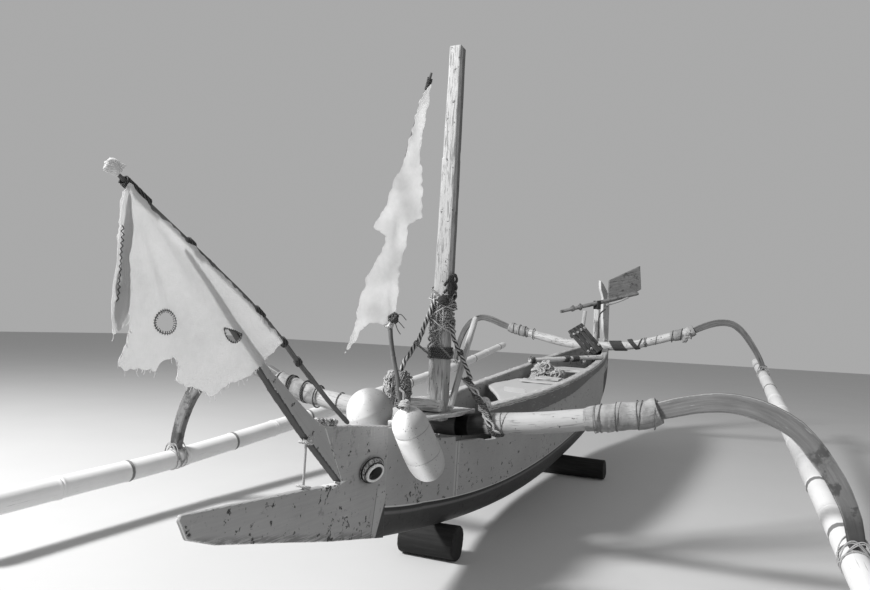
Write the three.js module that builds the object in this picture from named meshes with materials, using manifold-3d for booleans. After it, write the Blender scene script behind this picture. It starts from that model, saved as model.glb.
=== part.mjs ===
import * as THREE from 'three';
import { mergeVertices } from 'three/addons/utils/BufferGeometryUtils.js';
import Module from 'manifold-3d';

// A double outrigger fishing canoe, drawn up on a beach and standing on two logs.
// Millimetres. X runs forward to the bow, Y to port, Z up. Z = 0 is the ground.
// Every X below is measured from the front cross beam; MIDDLE_X then centres the boat.

const wasm = await Module();
wasm.setup();

// Driving dimensions
const MIDDLE_X = -1830.79;
const GAP = 0.5;

// Hull
const HULL_MID_X = -2010;
const HULL_HALF_LENGTH = 2452;
const HULL_HALF_BEAM = 249;
const HULL_END_HALF_WIDTH = 18;
const NOSE_DOWN = 0.0689;
const GUNWALE_MID_Z = 835;
const GUNWALE_RISE = 62;
const FOREDECK_DIP = { x: 150, reach: 300, by: 12 };
const CHINE_MID_Z = 403;
const CHINE_RISE = 119;
const KEEL = { midZ: 135, riseFore: 210, riseAft: 105, bowLift: 50 };
const BILGE_POWER = 1.15;
const BOTTOM_WALL = 34;
const SIDE_WALL = 22;
const TROUGH_FROM_X = -4330;
const TROUGH_TO_X = 330;
const STERN_FOOT_X = -4600;
const STERN_OVERHANG = 350;
const BOW_JOINT_X = 700;
const HEAD_THICK = 36;
const RAIL = { wide: 56, high: 22, proud: 26, fromX: -4104, toX: -145 };
const STRAKE = { thick: 22, high: 100, highAft: 60, clear: 2 };

// Cross beams, their arms and the floats
const FRONT_BEAM_X = 45;
const REAR_BEAM_X = -4172;
const BEAM_RADIUS = { front: 53, rear: 47 };
const ARM_THICK = { front: 50, rear: 42 };
const FLOAT_RADIUS = 58;

// Mast and steering oar
const MAST_FOOT = { x: 148, z: 700 };
const MAST_HEAD = { x: 94, z: 2618 };
const OAR_PIVOT = { x: -4463, y: -60, z: 1521 };
const OAR_HANDLE = [-4150, -402, 1400];
const OAR_REACH = 540;
const SHAFT_RADIUS = 25;

// Paint and wood colours
const PAINTED_GREY = { color: 0x7d7f80, roughness: 0.62, metalness: 0 };
const PAINTED_WHITE = { color: 0xd9d8d3, roughness: 0.6, metalness: 0 };
const DARK_PAINT = { color: 0x3c3d3e, roughness: 0.6, metalness: 0 };
const BARE_WOOD = { color: 0x8b867e, roughness: 0.85, metalness: 0 };
const DARK_WOOD = { color: 0x4b4743, roughness: 0.85, metalness: 0 };
const PALE_WOOD = { color: 0xb9b4a9, roughness: 0.8, metalness: 0 };
const WHITE_CLOTH = { color: 0xe6e5e0, roughness: 0.9, metalness: 0 };
const GREY_ROPE = { color: 0x6a6660, roughness: 0.95, metalness: 0 };
const WHITE_PLASTIC = { color: 0xe9e9e6, roughness: 0.35, metalness: 0 };

const boat = new THREE.Group();
boat.position.x = -MIDDLE_X;
const SIDES = [['port', 1], ['starboard', -1]];

// Small geometry tools

const lerp = THREE.MathUtils.lerp;

function closed(geometry) {
  geometry.deleteAttribute('normal');
  geometry.deleteAttribute('uv');
  const merged = mergeVertices(geometry, 2e-3);
  const index = Array.from(merged.index.array);
  const p = merged.attributes.position;
  const a = new THREE.Vector3();
  const b = new THREE.Vector3();
  const c = new THREE.Vector3();
  const kept = [];
  let volume = 0;
  for (let i = 0; i < index.length; i += 3) {
    const [i0, i1, i2] = index.slice(i, i + 3);
    if (i0 === i1 || i1 === i2 || i2 === i0) continue;
    a.fromBufferAttribute(p, i0);
    b.fromBufferAttribute(p, i1);
    c.fromBufferAttribute(p, i2);
    volume += a.dot(b.cross(c));
    kept.push(i0, i1, i2);
  }
  if (volume < 0) kept.reverse();
  merged.setIndex(kept);
  merged.computeVertexNormals();
  return merged;
}

// A box whose three directions u, v, w (0 to 1) are laid out in space by place(u, v, w).
function warpedBox(steps, place) {
  const box = new THREE.BoxGeometry(1, 1, 1, steps[0], steps[1], steps[2]);
  const p = box.attributes.position;
  for (let i = 0; i < p.count; i += 1) {
    const spot = place(p.getX(i) + 0.5, p.getY(i) + 0.5, p.getZ(i) + 0.5);
    p.setXYZ(i, spot.x, spot.y, spot.z);
  }
  return closed(box);
}

// A round pole along a curve. radius(t) gives its radius from start to end.
function pole(curve, radius, sides, steps) {
  const post = new THREE.CylinderGeometry(1, 1, 1, sides, steps);
  const p = post.attributes.position;
  const up = new THREE.Vector3(0, 0, 1);
  const along = new THREE.Vector3(1, 0, 0);
  const reference = Math.abs(curve.getTangent(0.5).z) > 0.7 ? along : up;
  for (let i = 0; i < p.count; i += 1) {
    const t = THREE.MathUtils.clamp(p.getY(i) + 0.5, 0, 1);
    const centre = curve.getPoint(t);
    const tangent = curve.getTangent(t);
    const side = reference.clone().cross(tangent).normalize();
    const over = tangent.clone().cross(side).normalize();
    centre.addScaledVector(side, p.getX(i) * radius(t));
    centre.addScaledVector(over, p.getZ(i) * radius(t));
    p.setXYZ(i, centre.x, centre.y, centre.z);
  }
  return closed(post);
}

// A flat board: its outline lies in the XZ or YZ plane at the given distance, and it is thick across it.
function board(outline, thick, plane, at) {
  const shape = new THREE.Shape(outline.map(([u, v]) => new THREE.Vector2(u, v)));
  const slab = new THREE.ExtrudeGeometry(shape, { depth: thick, bevelEnabled: false });
  slab.translate(0, 0, -thick / 2);
  const up = new THREE.Vector3(0, 0, 1);
  const forward = new THREE.Vector3(1, 0, 0);
  const port = new THREE.Vector3(0, 1, 0);
  const turn = new THREE.Matrix4();
  if (plane === 'XZ') turn.makeBasis(forward, up, port.negate()).setPosition(0, at, 0);
  else turn.makeBasis(port, up, forward).setPosition(at, 0, 0);
  return closed(slab.applyMatrix4(turn));
}

function block(size, centre) {
  return closed(new THREE.BoxGeometry(...size).translate(...centre));
}

function solid(geometry) {
  return new wasm.Manifold(new wasm.Mesh({
    numProp: 3,
    vertProperties: new Float32Array(geometry.attributes.position.array),
    triVerts: new Uint32Array(geometry.index.array),
  }));
}

function geometryOf(manifold) {
  const mesh = manifold.getMesh();
  const geometry = new THREE.BufferGeometry();
  geometry.setAttribute('position', new THREE.BufferAttribute(new Float32Array(mesh.vertProperties), 3));
  geometry.setIndex(Array.from(mesh.triVerts));
  return closed(geometry);
}

function cut(geometry, tools) {
  return geometryOf(tools.reduce((body, tool) => body.subtract(solid(tool)), solid(geometry)));
}

function join(geometries) {
  return geometryOf(geometries.map(solid).reduce((body, other) => body.add(other)));
}

function mirrored(geometry) {
  return closed(geometry.clone().scale(1, -1, 1));
}

function add(name, geometry, finish) {
  const mesh = new THREE.Mesh(geometry, new THREE.MeshStandardMaterial(finish));
  mesh.name = name;
  boat.add(mesh);
}

function addPair(name, geometry, finish) {
  for (const [side, sign] of SIDES) {
    add(`${name}_${side}`, sign > 0 ? geometry : mirrored(geometry), finish);
  }
}

const line3 = (points) => new THREE.CatmullRomCurve3(points.map((p) => new THREE.Vector3(...p)));

// The lines of the hull: half breadth and heights along its length

const station = (x) => (x - HULL_MID_X) / HULL_HALF_LENGTH;
const noseDown = (x) => -NOSE_DOWN * (x - HULL_MID_X);

function halfBreadth(x) {
  const full = HULL_HALF_BEAM * (1 - Math.abs(station(x)) ** 2.6);
  const width = HULL_END_HALF_WIDTH + Math.max(full, 0);
  const bowFill = THREE.MathUtils.smoothstep(x, -300, 450) * THREE.MathUtils.clamp((BOW_JOINT_X - x) / 12, 0, 26);
  return Math.max(width, HULL_END_HALF_WIDTH + bowFill);
}

function gunwaleZ(x) {
  const dip = FOREDECK_DIP.by * Math.exp(-(((x - FOREDECK_DIP.x) / FOREDECK_DIP.reach) ** 2));
  return GUNWALE_MID_Z + GUNWALE_RISE * station(x) ** 2 + noseDown(x) - dip;
}

const chineZ = (x) => CHINE_MID_Z + CHINE_RISE * station(x) ** 4 + noseDown(x);
const chineHalf = (x) => halfBreadth(x) * 0.9;

function keelZ(x) {
  const rise = x > HULL_MID_X ? KEEL.riseFore : KEEL.riseAft;
  const lift = KEEL.bowLift * THREE.MathUtils.smoothstep(x, HULL_MID_X, BOW_JOINT_X);
  return KEEL.midZ + rise * Math.abs(station(x)) ** 2.5 + noseDown(x) + lift;
}

// The outer face of a side: its half breadth at a height between chine and gunwale.
function sideHalf(x, z) {
  const rise = (z - chineZ(x)) / (gunwaleZ(x) - chineZ(x));
  return lerp(chineHalf(x), halfBreadth(x), rise);
}

// Around the bottom: v = 0 at the port chine, 0.5 at the keel, 1 at the starboard chine.
function bottomPoint(x, v, inward) {
  const angle = (v - 0.5) * Math.PI;
  const half = Math.max(chineHalf(x) - inward, 6);
  const top = chineZ(x) - GAP;
  const drop = top - keelZ(x) - inward;
  const across = Math.sign(Math.sin(angle)) * Math.abs(Math.sin(angle)) ** BILGE_POWER;
  const down = Math.max(Math.cos(angle), 0) ** BILGE_POWER;
  return new THREE.Vector3(x, -half * across, top - drop * down);
}

function hullBottom() {
  return warpedBox([26, 14, 1], (u, v, w) => {
    const x = lerp(TROUGH_FROM_X, TROUGH_TO_X, u);
    return bottomPoint(x, v, (1 - w) * BOTTOM_WALL);
  });
}

// A solid end of the hull between two places, with the same bottom and sides as the trough.
function endBlock(fromX, toX, steps, overhang) {
  return warpedBox([steps, 10, 4], (u, v, w) => {
    const x = lerp(fromX, toX, u);
    const side = (v - 0.5) * 2;
    let height = 0;
    let half = 0;
    if (w < 0.6) {
      const angle = (w / 0.6) * Math.PI / 2;
      half = chineHalf(x) * Math.sin(angle) ** BILGE_POWER;
      height = chineZ(x) - (chineZ(x) - keelZ(x)) * Math.max(Math.cos(angle), 0) ** BILGE_POWER;
    } else {
      const rise = (w - 0.6) / 0.4;
      half = lerp(chineHalf(x), halfBreadth(x), rise);
      height = lerp(chineZ(x), gunwaleZ(x), rise);
    }
    const climb = THREE.MathUtils.clamp((height - keelZ(x)) / (gunwaleZ(x) - keelZ(x)), 0, 1);
    const lean = overhang * (1 - u) * (1 - (1 - climb) ** 4);
    return new THREE.Vector3(x - lean, side * Math.max(half, 5), height);
  });
}

function sidePlank() {
  return warpedBox([26, 3, 1], (u, v, w) => {
    const x = lerp(TROUGH_FROM_X, TROUGH_TO_X, u);
    const y = lerp(chineHalf(x), halfBreadth(x), v) - (1 - w) * SIDE_WALL;
    return new THREE.Vector3(x, y, lerp(chineZ(x), gunwaleZ(x), v));
  });
}

function gunwale() {
  return warpedBox([22, 1, 1], (u, v, w) => {
    const x = lerp(RAIL.fromX, RAIL.toX, u);
    const y = halfBreadth(x) + RAIL.proud - (1 - w) * RAIL.wide;
    return new THREE.Vector3(x, y, gunwaleZ(x) + GAP + v * RAIL.high);
  });
}

// The heavy outer plank under each gunwale, lower towards the stern.
function rubStrake() {
  return warpedBox([22, 1, 1], (u, v, w) => {
    const x = lerp(RAIL.fromX, RAIL.toX, u);
    const high = lerp(STRAKE.high, STRAKE.highAft, THREE.MathUtils.smoothstep(-x, 1600, 2600));
    const z = gunwaleZ(x) - high * (1 - v);
    return new THREE.Vector3(x, sideHalf(x, z) + STRAKE.clear + w * STRAKE.thick, z);
  });
}

// Cross beams

const FRONT_BEAM = [
  // y, z
  [-1000, 802], [-740, 738], [-450, 703], [-210, 686], [-90, 671], [90, 671], [210, 692], [450, 716], [740, 765],
  [1000, 812],
];
const REAR_BEAM = [
  [-925, 1190], [-620, 1120], [-300, 1056], [0, 1046], [300, 1060], [560, 1118], [740, 1172], [925, 1225],
];

function beam(points, x, radius, grow = 0) {
  const curve = line3(points.map(([y, z]) => [x, y * (1 + grow / 1000), z]));
  return pole(curve, (t) => radius * (1 - 0.16 * Math.abs(2 * t - 1) ** 3) + grow, 12, 20);
}

// Curved arms from a beam's end down to a float

const FRONT_ARM = {
  // y, z, depth
  port: [
    [1003, 816, 76], [1140, 862, 84], [1275, 889, 86], [1385, 888, 86], [1495, 858, 86],
    [1600, 800, 84], [1690, 695, 80], [1755, 590, 74], [1800, 480, 68], [1822, 356, 62],
  ],
  starboard: [
    [1003, 806, 74], [1140, 860, 84], [1275, 889, 86], [1385, 888, 86], [1495, 858, 86],
    [1595, 795, 84], [1675, 685, 80], [1730, 575, 74], [1765, 455, 66], [1780, 342, 58],
  ],
};
const REAR_ARM = {
  port: [
    [928, 1218, 62], [1060, 1290, 66], [1182, 1335, 66], [1290, 1345, 66], [1375, 1318, 64],
    [1470, 1222, 60], [1556, 1086, 56], [1610, 975, 52], [1634, 892, 48],
  ],
  starboard: [
    [928, 1180, 62], [1060, 1225, 68], [1182, 1274, 70], [1290, 1302, 68], [1375, 1292, 66],
    [1470, 1237, 64], [1545, 1130, 60], [1595, 1000, 56], [1622, 880, 52], [1637, 760, 48],
  ],
};

function arm(table, thick, x, grow = 0) {
  const centre = new THREE.SplineCurve(table.map(([y, z]) => new THREE.Vector2(y, z)));
  const depths = new THREE.SplineCurve(table.map(([, , depth], i) => new THREE.Vector2(i, depth)));
  const steps = 20;
  const outer = [];
  const inner = [];
  for (let i = 0; i <= steps; i += 1) {
    const t = i / steps;
    const spot = centre.getPoint(t);
    const run = centre.getTangent(t);
    const half = depths.getPoint(t).y / 2 + grow;
    if (i === 0) spot.addScaledVector(run, -grow);
    if (i === steps) spot.addScaledVector(run, grow);
    outer.push([spot.x - run.y * half, spot.y + run.x * half]);
    inner.push([spot.x + run.y * half, spot.y - run.x * half]);
  }
  return board(outer.concat(inner.reverse()), thick + 2 * grow, 'YZ', x);
}

// Floats: one thick bamboo on each side. The port one rides higher, and both taper aft.

const FLOAT_PATH = {
  // x, y outward, z
  port: [[1350, 1874, 168], [700, 1845, 211], [45, 1817, 294], [-1050, 1770, 437], [-2600, 1702, 638],
    [-4172, 1634, 842], [-5450, 1602, 935]],
  starboard: [[1350, 1790, 236], [700, 1788, 256], [45, 1777, 280], [-1050, 1746, 374], [-2600, 1694, 532],
    [-4172, 1638, 710], [-5800, 1560, 968]],
};
const floatAt = (side, x) => FLOAT_PATH[side].find((spot) => spot[0] === x);

function bambooFloat(side, grow = 0) {
  const blunt = (t) => (t > 0.97 || t < 0.02 ? 0.85 : 1);
  const radius = (t) => FLOAT_RADIUS * (1 - 0.3 * Math.max(2 * t - 1, 0)) * blunt(t) + grow;
  return pole(line3(FLOAT_PATH[side]), radius, 14, 34);
}

// Build: hull

const beamTools = [
  beam(FRONT_BEAM, FRONT_BEAM_X, BEAM_RADIUS.front, GAP),
  beam(REAR_BEAM, REAR_BEAM_X, BEAM_RADIUS.rear, GAP),
];

// The sides are cut down under the foredeck, where the front beam passes through.
const NOTCH = [
  // x, z
  [-300, 566], [-182, 572], [-155, 584], [117, 600], [118, 623], [258, 630], [430, 640], [430, 1000],
  [-300, 1000],
];
const sideTools = [...beamTools, board(NOTCH, 4 * HULL_HALF_BEAM, 'XZ', 0)];

add('hull_bottom', hullBottom(), PAINTED_GREY);
add('hull_side_port', cut(sidePlank(), sideTools), PAINTED_GREY);
add('hull_side_starboard', cut(mirrored(sidePlank()), sideTools), PAINTED_GREY);
const bowBlock = endBlock(BOW_JOINT_X - GAP, TROUGH_TO_X + GAP, 4, 0);
add('bow_block', bowBlock, PAINTED_GREY);
add('stern_block', endBlock(STERN_FOOT_X, TROUGH_FROM_X - GAP, 4, STERN_OVERHANG), PAINTED_GREY);
addPair('gunwale', gunwale(), PALE_WOOD);
addPair('rub_strake', rubStrake(), DARK_PAINT);

// Bow: the board that ends in the lower jaw, and the raked upper jaw

// Both sides of a bow board are planed away towards its tip.
function tapered(geometry, taper) {
  const overZ = 3000;
  const tools = [1, -1].map((side) => {
    const shape = new THREE.Shape([
      [taper.fromX, HEAD_THICK / 2], [taper.toX, taper.tipThick / 2], [taper.toX + HEAD_THICK, taper.tipThick / 2],
      [taper.toX + HEAD_THICK, HEAD_THICK], [taper.fromX, HEAD_THICK],
    ].map(([x, y]) => new THREE.Vector2(x, side * y)));
    return closed(new THREE.ExtrudeGeometry(shape, { depth: overZ, bevelEnabled: false }));
  });
  return cut(geometry, tools);
}

const HEAD = [
  // x, z
  [BOW_JOINT_X, 735], [1010, 770], [1197, 789], [1058, 560], [1309, 584], [1591, 607], [1864, 629],
  [1873, 615], [1840, 555], [1726, 512], [1523, 462], [1325, 413], [1120, 361], [900, 312],
  [BOW_JOINT_X, 267],
];
const HEAD_TAPER = { fromX: 1060, toX: 1885, tipThick: 13 };
add('bow_board', tapered(board(HEAD, HEAD_THICK, 'XZ', 0), HEAD_TAPER), PAINTED_GREY);

const UPPER_JAW = [
  // x, z
  [1200, 791], [1267, 823], [1359, 886], [1431, 935], [1508, 989], [1564, 1035], [1631, 1091], [1722, 1168],
  [1817, 1257], [1909, 1334], [1938, 1354], [1941, 1347], [1915, 1325], [1860, 1274], [1773, 1187], [1661, 1085],
  [1562, 992], [1438, 880], [1335, 786], [1063, 563],
];
const JAW_TAPER = { fromX: 1440, toX: 1950, tipThick: 16 };
add('upper_jaw', tapered(board(UPPER_JAW, HEAD_THICK, 'XZ', 0), JAW_TAPER), PAINTED_GREY);

// The eye is a long low boss on each side.
const EYE = { x: 845, z: 576, halfLong: 95, halfHigh: 50, proud: 34 };
const EYE_PROFILE = [
  // share of the half length, share of the height
  [0, 0], [1, 0], [0.97, 0.25], [0.87, 0.5], [0.7, 0.74], [0.42, 0.92], [0, 1],
];
const eyeBoss = new THREE.LatheGeometry(EYE_PROFILE.map(([r, h]) => new THREE.Vector2(r, h)), 20);
eyeBoss.scale(EYE.halfLong, EYE.proud, EYE.halfHigh);
addPair('eye', closed(eyeBoss.translate(EYE.x, HEAD_THICK / 2 + GAP, EYE.z)), WHITE_PLASTIC);

// Deck boards and thwarts inside the hull

function crossBoard(fromX, toX, z, thick, clear) {
  return warpedBox([6, 1, 1], (u, v, w) => {
    const x = lerp(fromX, toX, u);
    const half = halfBreadth(x) - clear;
    return new THREE.Vector3(x, (v * 2 - 1) * half, z(x) + w * thick);
  });
}

const MAST = { wideFoot: 90, wideHead: 64, deepFoot: 84, deepHead: 74 };
const mastCurve = line3([[MAST_FOOT.x, 0, MAST_FOOT.z], [MAST_HEAD.x, 0, MAST_HEAD.z]]);

function mast(grow = 0) {
  return warpedBox([1, 1, 6], (u, v, w) => {
    const spot = mastCurve.getPoint(w);
    const wide = lerp(MAST.wideFoot, MAST.wideHead, w) + 2 * grow;
    const deep = lerp(MAST.deepFoot, MAST.deepHead, w) + 2 * grow;
    return new THREE.Vector3(spot.x + (u - 0.5) * deep, (v - 0.5) * wide, spot.z);
  });
}

const mastTool = mast(GAP);
const DECK = { fromX: -45, toX: 620, thick: 20, overhang: 8 };
const deck = crossBoard(DECK.fromX, DECK.toX, (x) => gunwaleZ(x) + GAP, DECK.thick, -DECK.overhang);
add('foredeck', cut(deck, [mastTool, beamTools[0]]), PALE_WOOD);
const STEP = { x: 150, y: -41, long: 150, wide: 174, high: 56 };
const stepZ = gunwaleZ(STEP.x - STEP.long / 2) + DECK.thick + 4 + STEP.high / 2;
const step = block([STEP.long, STEP.wide, STEP.high], [STEP.x, STEP.y, stepZ]);
add('mast_step', cut(step, [mastTool]), PAINTED_WHITE);
add('mast', mast(), PAINTED_WHITE);

// The middle boards have a slanting front edge that runs forward to the port side.
const MIDDLE_BOARDS = { aftX: -1700, starboardX: -1255, portX: -350, below: 34, thick: 24, clear: 30, gap: 90 };
const middleBoards = warpedBox([6, 4, 1], (u, v, w) => {
  const frontX = lerp(MIDDLE_BOARDS.starboardX, MIDDLE_BOARDS.portX, v);
  const x = lerp(MIDDLE_BOARDS.aftX, frontX, u);
  const half = halfBreadth(x) - MIDDLE_BOARDS.clear;
  const inset = MIDDLE_BOARDS.gap * (1 - u) * (1 - v);
  return new THREE.Vector3(x, (v * 2 - 1) * half + inset, gunwaleZ(x) - MIDDLE_BOARDS.below + w * MIDDLE_BOARDS.thick);
});
add('middle_boards', middleBoards, PALE_WOOD);
add('thwart_rear', crossBoard(-2710, -2530, (x) => gunwaleZ(x) - 46, 24, SIDE_WALL + 6), PALE_WOOD);
// The cross pole lies aslant on both gunwales.
const CROSS_POLE = { starboardX: -2450, portX: -3040, half: 262, radius: 21, above: 1.5 };
const crossPoleEnd = (x, y) => [x, y, gunwaleZ(x) + GAP + RAIL.high + CROSS_POLE.radius + CROSS_POLE.above];
const crossPoleLine = line3([
  crossPoleEnd(CROSS_POLE.starboardX, -CROSS_POLE.half), crossPoleEnd(CROSS_POLE.portX, CROSS_POLE.half),
]);
add('cross_pole', pole(crossPoleLine, () => CROSS_POLE.radius, 10, 1), PAINTED_WHITE);
const FLOOR_Z = 400;
add('floor_boards', crossBoard(-3300, -500, () => FLOOR_Z, 18, 95), BARE_WOOD);

// Cross beams, arms, sleeves, floats and their lashings

add('front_beam', beam(FRONT_BEAM, FRONT_BEAM_X, BEAM_RADIUS.front), PAINTED_WHITE);
add('rear_beam', beam(REAR_BEAM, REAR_BEAM_X, BEAM_RADIUS.rear), PAINTED_WHITE);

const ENDS = [
  {
    name: 'front', arms: FRONT_ARM, points: FRONT_BEAM, x: FRONT_BEAM_X, radius: BEAM_RADIUS.front,
    thick: ARM_THICK.front, wrap: { port: 64, starboard: 55 }, footLong: 90,
    sleeve: {
      port: [[720, 761], [860, 786], [1000, 812], [1045, 829]],
      starboard: [[720, 735], [860, 762], [1000, 802], [1045, 822]],
    },
  },
  {
    name: 'rear', arms: REAR_ARM, points: REAR_BEAM, x: REAR_BEAM_X, radius: BEAM_RADIUS.rear,
    thick: ARM_THICK.rear, wrap: { port: 56, starboard: 56 }, footLong: 70,
    sleeve: {
      port: [[760, 1179], [860, 1206], [925, 1225], [985, 1255]],
      starboard: [[760, 1149], [860, 1171], [925, 1188], [985, 1205]],
    },
  },
];
const LASH = { over: 26, above: 20 };

for (const [side, sign] of SIDES) {
  const place = (geometry) => (sign > 0 ? geometry : mirrored(geometry));
  const floatTool = bambooFloat(side, GAP);
  for (const end of ENDS) {
    const table = end.arms[side];
    const armTool = arm(table, end.thick, end.x, GAP);
    // The rear beam isn't the same on both sides, so its tool is turned to the port side's frame.
    const beamTool = place(beam(end.points, end.x, end.radius, GAP));
    const sleeveCurve = line3(end.sleeve[side].map(([y, z]) => [end.x, y, z]));
    const sleeve = pole(sleeveCurve, (t) => end.wrap[side] * (1 - 0.08 * t), 12, 8);
    const [, footY, footZ] = floatAt(side, end.x);
    const lashCurve = line3([
      [end.x - end.footLong / 2, footY, footZ + LASH.above],
      [end.x + end.footLong / 2, footY, footZ + LASH.above],
    ]);
    const lash = pole(lashCurve, () => FLOAT_RADIUS + LASH.over, 12, 2);
    add(`${end.name}_arm_${side}`, place(cut(arm(table, end.thick, end.x), [beamTool, floatTool])), BARE_WOOD);
    add(`${end.name}_sleeve_${side}`, place(cut(sleeve, [armTool, beamTool])), PALE_WOOD);
    add(`${end.name}_lashing_${side}`, place(cut(lash, [armTool, floatTool])), GREY_ROPE);
  }
  add(`float_${side}`, place(bambooFloat(side)), PAINTED_WHITE);
}

// Stern: the leaf-topped stern post, the post under the oar, and the grating

const STERN_POST = [
  // across, z
  [47, 1079], [47, 1500], [34, 1600], [2, 1680], [-50, 1750], [-96, 1798], [-88, 1690], [-64, 1640], [-48, 1590],
  [-47, 1400], [-30, 1250], [-2, 1079],
];
const STERN_POST_PLACE = { x: -4753, y: -18, thick: 43, turn: 50 };
const sternPost = board(STERN_POST, STERN_POST_PLACE.thick, 'YZ', 0);
sternPost.rotateZ(THREE.MathUtils.degToRad(STERN_POST_PLACE.turn));
add('stern_post', sternPost.translate(STERN_POST_PLACE.x, STERN_POST_PLACE.y, 0), PAINTED_GREY);
const CRUTCH_FOOT_Z = 1452;
const OAR_POST = { bottomZ: 1062, long: 60, wide: 58 };
add('oar_post', block(
  [OAR_POST.long, OAR_POST.wide, CRUTCH_FOOT_Z - GAP - OAR_POST.bottomZ],
  [OAR_PIVOT.x, OAR_PIVOT.y, (CRUTCH_FOOT_Z - GAP + OAR_POST.bottomZ) / 2],
), PALE_WOOD);

// A short prop stands on the rear beam under the oar's handle.
const OAR_PROP = { foot: [-4168, -172, 1060], head: [-4250, -152, 1420], radius: 22 };
const rearBeamTool = beam(REAR_BEAM, REAR_BEAM_X, BEAM_RADIUS.rear, GAP);
const oarProp = pole(line3([OAR_PROP.foot, OAR_PROP.head]), () => OAR_PROP.radius, 10, 1);
add('oar_prop', cut(oarProp, [rearBeamTool]), PALE_WOOD);

const GRATING = { slats: 4, slatWide: 48, pitch: 62, long: 335, thick: 18, battenWide: 36 };

function grating() {
  const wide = GRATING.pitch * (GRATING.slats - 1) + GRATING.slatWide;
  const slats = Array.from({ length: GRATING.slats }, (_, i) => (
    block([GRATING.slatWide, GRATING.long, GRATING.thick], [GRATING.slatWide / 2 + i * GRATING.pitch, GRATING.long / 2, 0])
  ));
  const battens = [0.18, 0.82].map((part) => (
    block([wide, GRATING.battenWide, GRATING.thick + 2], [wide / 2, part * GRATING.long, GRATING.thick])
  ));
  const across = new THREE.Vector3(-200, 90, 88).normalize();
  const down = new THREE.Vector3(0, 220, -253);
  const normal = across.clone().cross(down).normalize();
  const run = normal.clone().cross(across).normalize();
  const frame = new THREE.Matrix4().makeBasis(across, run, normal);
  frame.setPosition(-3400, -143, 1186);
  return join([...slats, ...battens]).applyMatrix4(frame);
}

add('grating', grating(), BARE_WOOD);

// Buoys, flags, poles and nets

const BALL = { x: 562, y: -154, z: 768, radius: 105 };
add('ball_buoy', closed(new THREE.SphereGeometry(BALL.radius, 20, 14).translate(BALL.x, BALL.y, BALL.z)), WHITE_PLASTIC);

const CYLINDER_BUOY = { top: [787, 125, 818], bottom: [606, 192, 525], radius: 78 };
const buoyRadius = (t) => CYLINDER_BUOY.radius * Math.sqrt(Math.max(0.06, 1 - Math.abs(2 * t - 1) ** 3.4));
add('cylinder_buoy', pole(line3([CYLINDER_BUOY.top, CYLINDER_BUOY.bottom]), buoyRadius, 16, 12), WHITE_PLASTIC);

const BOW_POLE = [
  // x, z
  [1012, 780], [1142, 864], [1247, 940], [1368, 1027], [1450, 1089], [1628, 1207], [1781, 1293], [1915, 1367],
  [2033, 1430], [2136, 1487],
];
add('bow_flag_pole', pole(line3(BOW_POLE.map(([x, z]) => [x, 0, z])), () => 9, 8, 18), DARK_WOOD);
const TALL_POLE_X = 400;
const TALL_POLE = [
  // y, z
  [-78, 790], [-99, 894], [-157, 1175], [-148, 1691], [-107, 2004], [-2, 2375],
];
add('tall_flag_pole', pole(line3(TALL_POLE.map(([y, z]) => [TALL_POLE_X, y, z])), (t) => 11 - 4 * t, 8, 16), DARK_WOOD);

const BOW_FLAG = [
  // x, z
  [2122, 1468], [2056, 1425], [1940, 1363], [1808, 1291], [1658, 1206], [1483, 1092], [1548, 1050], [1605, 1011],
  [1653, 988], [1738, 968], [1784, 943], [1803, 940], [1830, 956], [1924, 984], [1942, 993], [1928, 1027],
  [1953, 1053], [1975, 1048], [1998, 1034], [2005, 1017], [2078, 1028], [2097, 1021], [2120, 1043], [2106, 1080],
  [2097, 1112], [2094, 1136], [2098, 1157], [2112, 1164], [2130, 1142], [2131, 1113], [2139, 1107], [2144, 1119],
  [2144, 1204], [2138, 1266], [2142, 1321], [2144, 1355], [2141, 1442],
];
add('bow_flag', board(BOW_FLAG, 8, 'XZ', 23), WHITE_CLOTH);
const TALL_FLAG = [
  // y, z
  [14, 2316], [-24, 2051], [-35, 1970], [-14, 1892], [-4, 1674], [-75, 1635], [-80, 1542],
  [-111, 1437], [-106, 1300], [-128, 1166], [-236, 1167], [-305, 1130], [-382, 1005], [-322, 1226],
  [-288, 1390], [-202, 1516], [-189, 1586], [-263, 1626], [-187, 1762], [-105, 1986], [-44, 2240],
];
add('tall_flag', board(TALL_FLAG, 8, 'YZ', TALL_POLE_X + 22), WHITE_CLOTH);

const LEANING_POLE = [[175, 82, 770], [20, 78, 995], [-151, 74, 1221]];
add('leaning_pole', pole(line3(LEANING_POLE), () => 17, 8, 4), PALE_WOOD);

const netHeap = (size, centre) => closed(new THREE.SphereGeometry(1, 14, 9).scale(...size).translate(...centre));
add('net_bundle', netHeap([50, 68, 95], [325, -139, 848]), GREY_ROPE);
add('net_pile', netHeap([200, 122, 258], [-2285, -88, FLOOR_Z + 283]), GREY_ROPE);

// The two logs that the hull stands on

const LOGS = [
  // name, x, from y, to y
  ['support_log_front', 60, -190, 110],
  ['support_log_rear', -2350, -430, 430],
];
for (const [name, x, fromY, toY] of LOGS) {
  const radius = (keelZ(x) - GAP) / 2;
  const log = new THREE.CylinderGeometry(radius, radius, toY - fromY, 16);
  add(name, closed(log.translate(x, (fromY + toY) / 2, radius)), DARK_WOOD);
}

// The steering oar rides on a crutch that turns on its post

const oarHeading = Math.atan2(OAR_PIVOT.y - OAR_HANDLE[1], OAR_PIVOT.x - OAR_HANDLE[0]);
const handleOut = Math.hypot(OAR_PIVOT.x - OAR_HANDLE[0], OAR_PIVOT.y - OAR_HANDLE[1]);
const oarSlope = (OAR_PIVOT.z - OAR_HANDLE[2]) / handleOut;

function turnedToOar(geometry) {
  return geometry.rotateZ(oarHeading).translate(OAR_PIVOT.x, OAR_PIVOT.y, 0);
}

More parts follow.
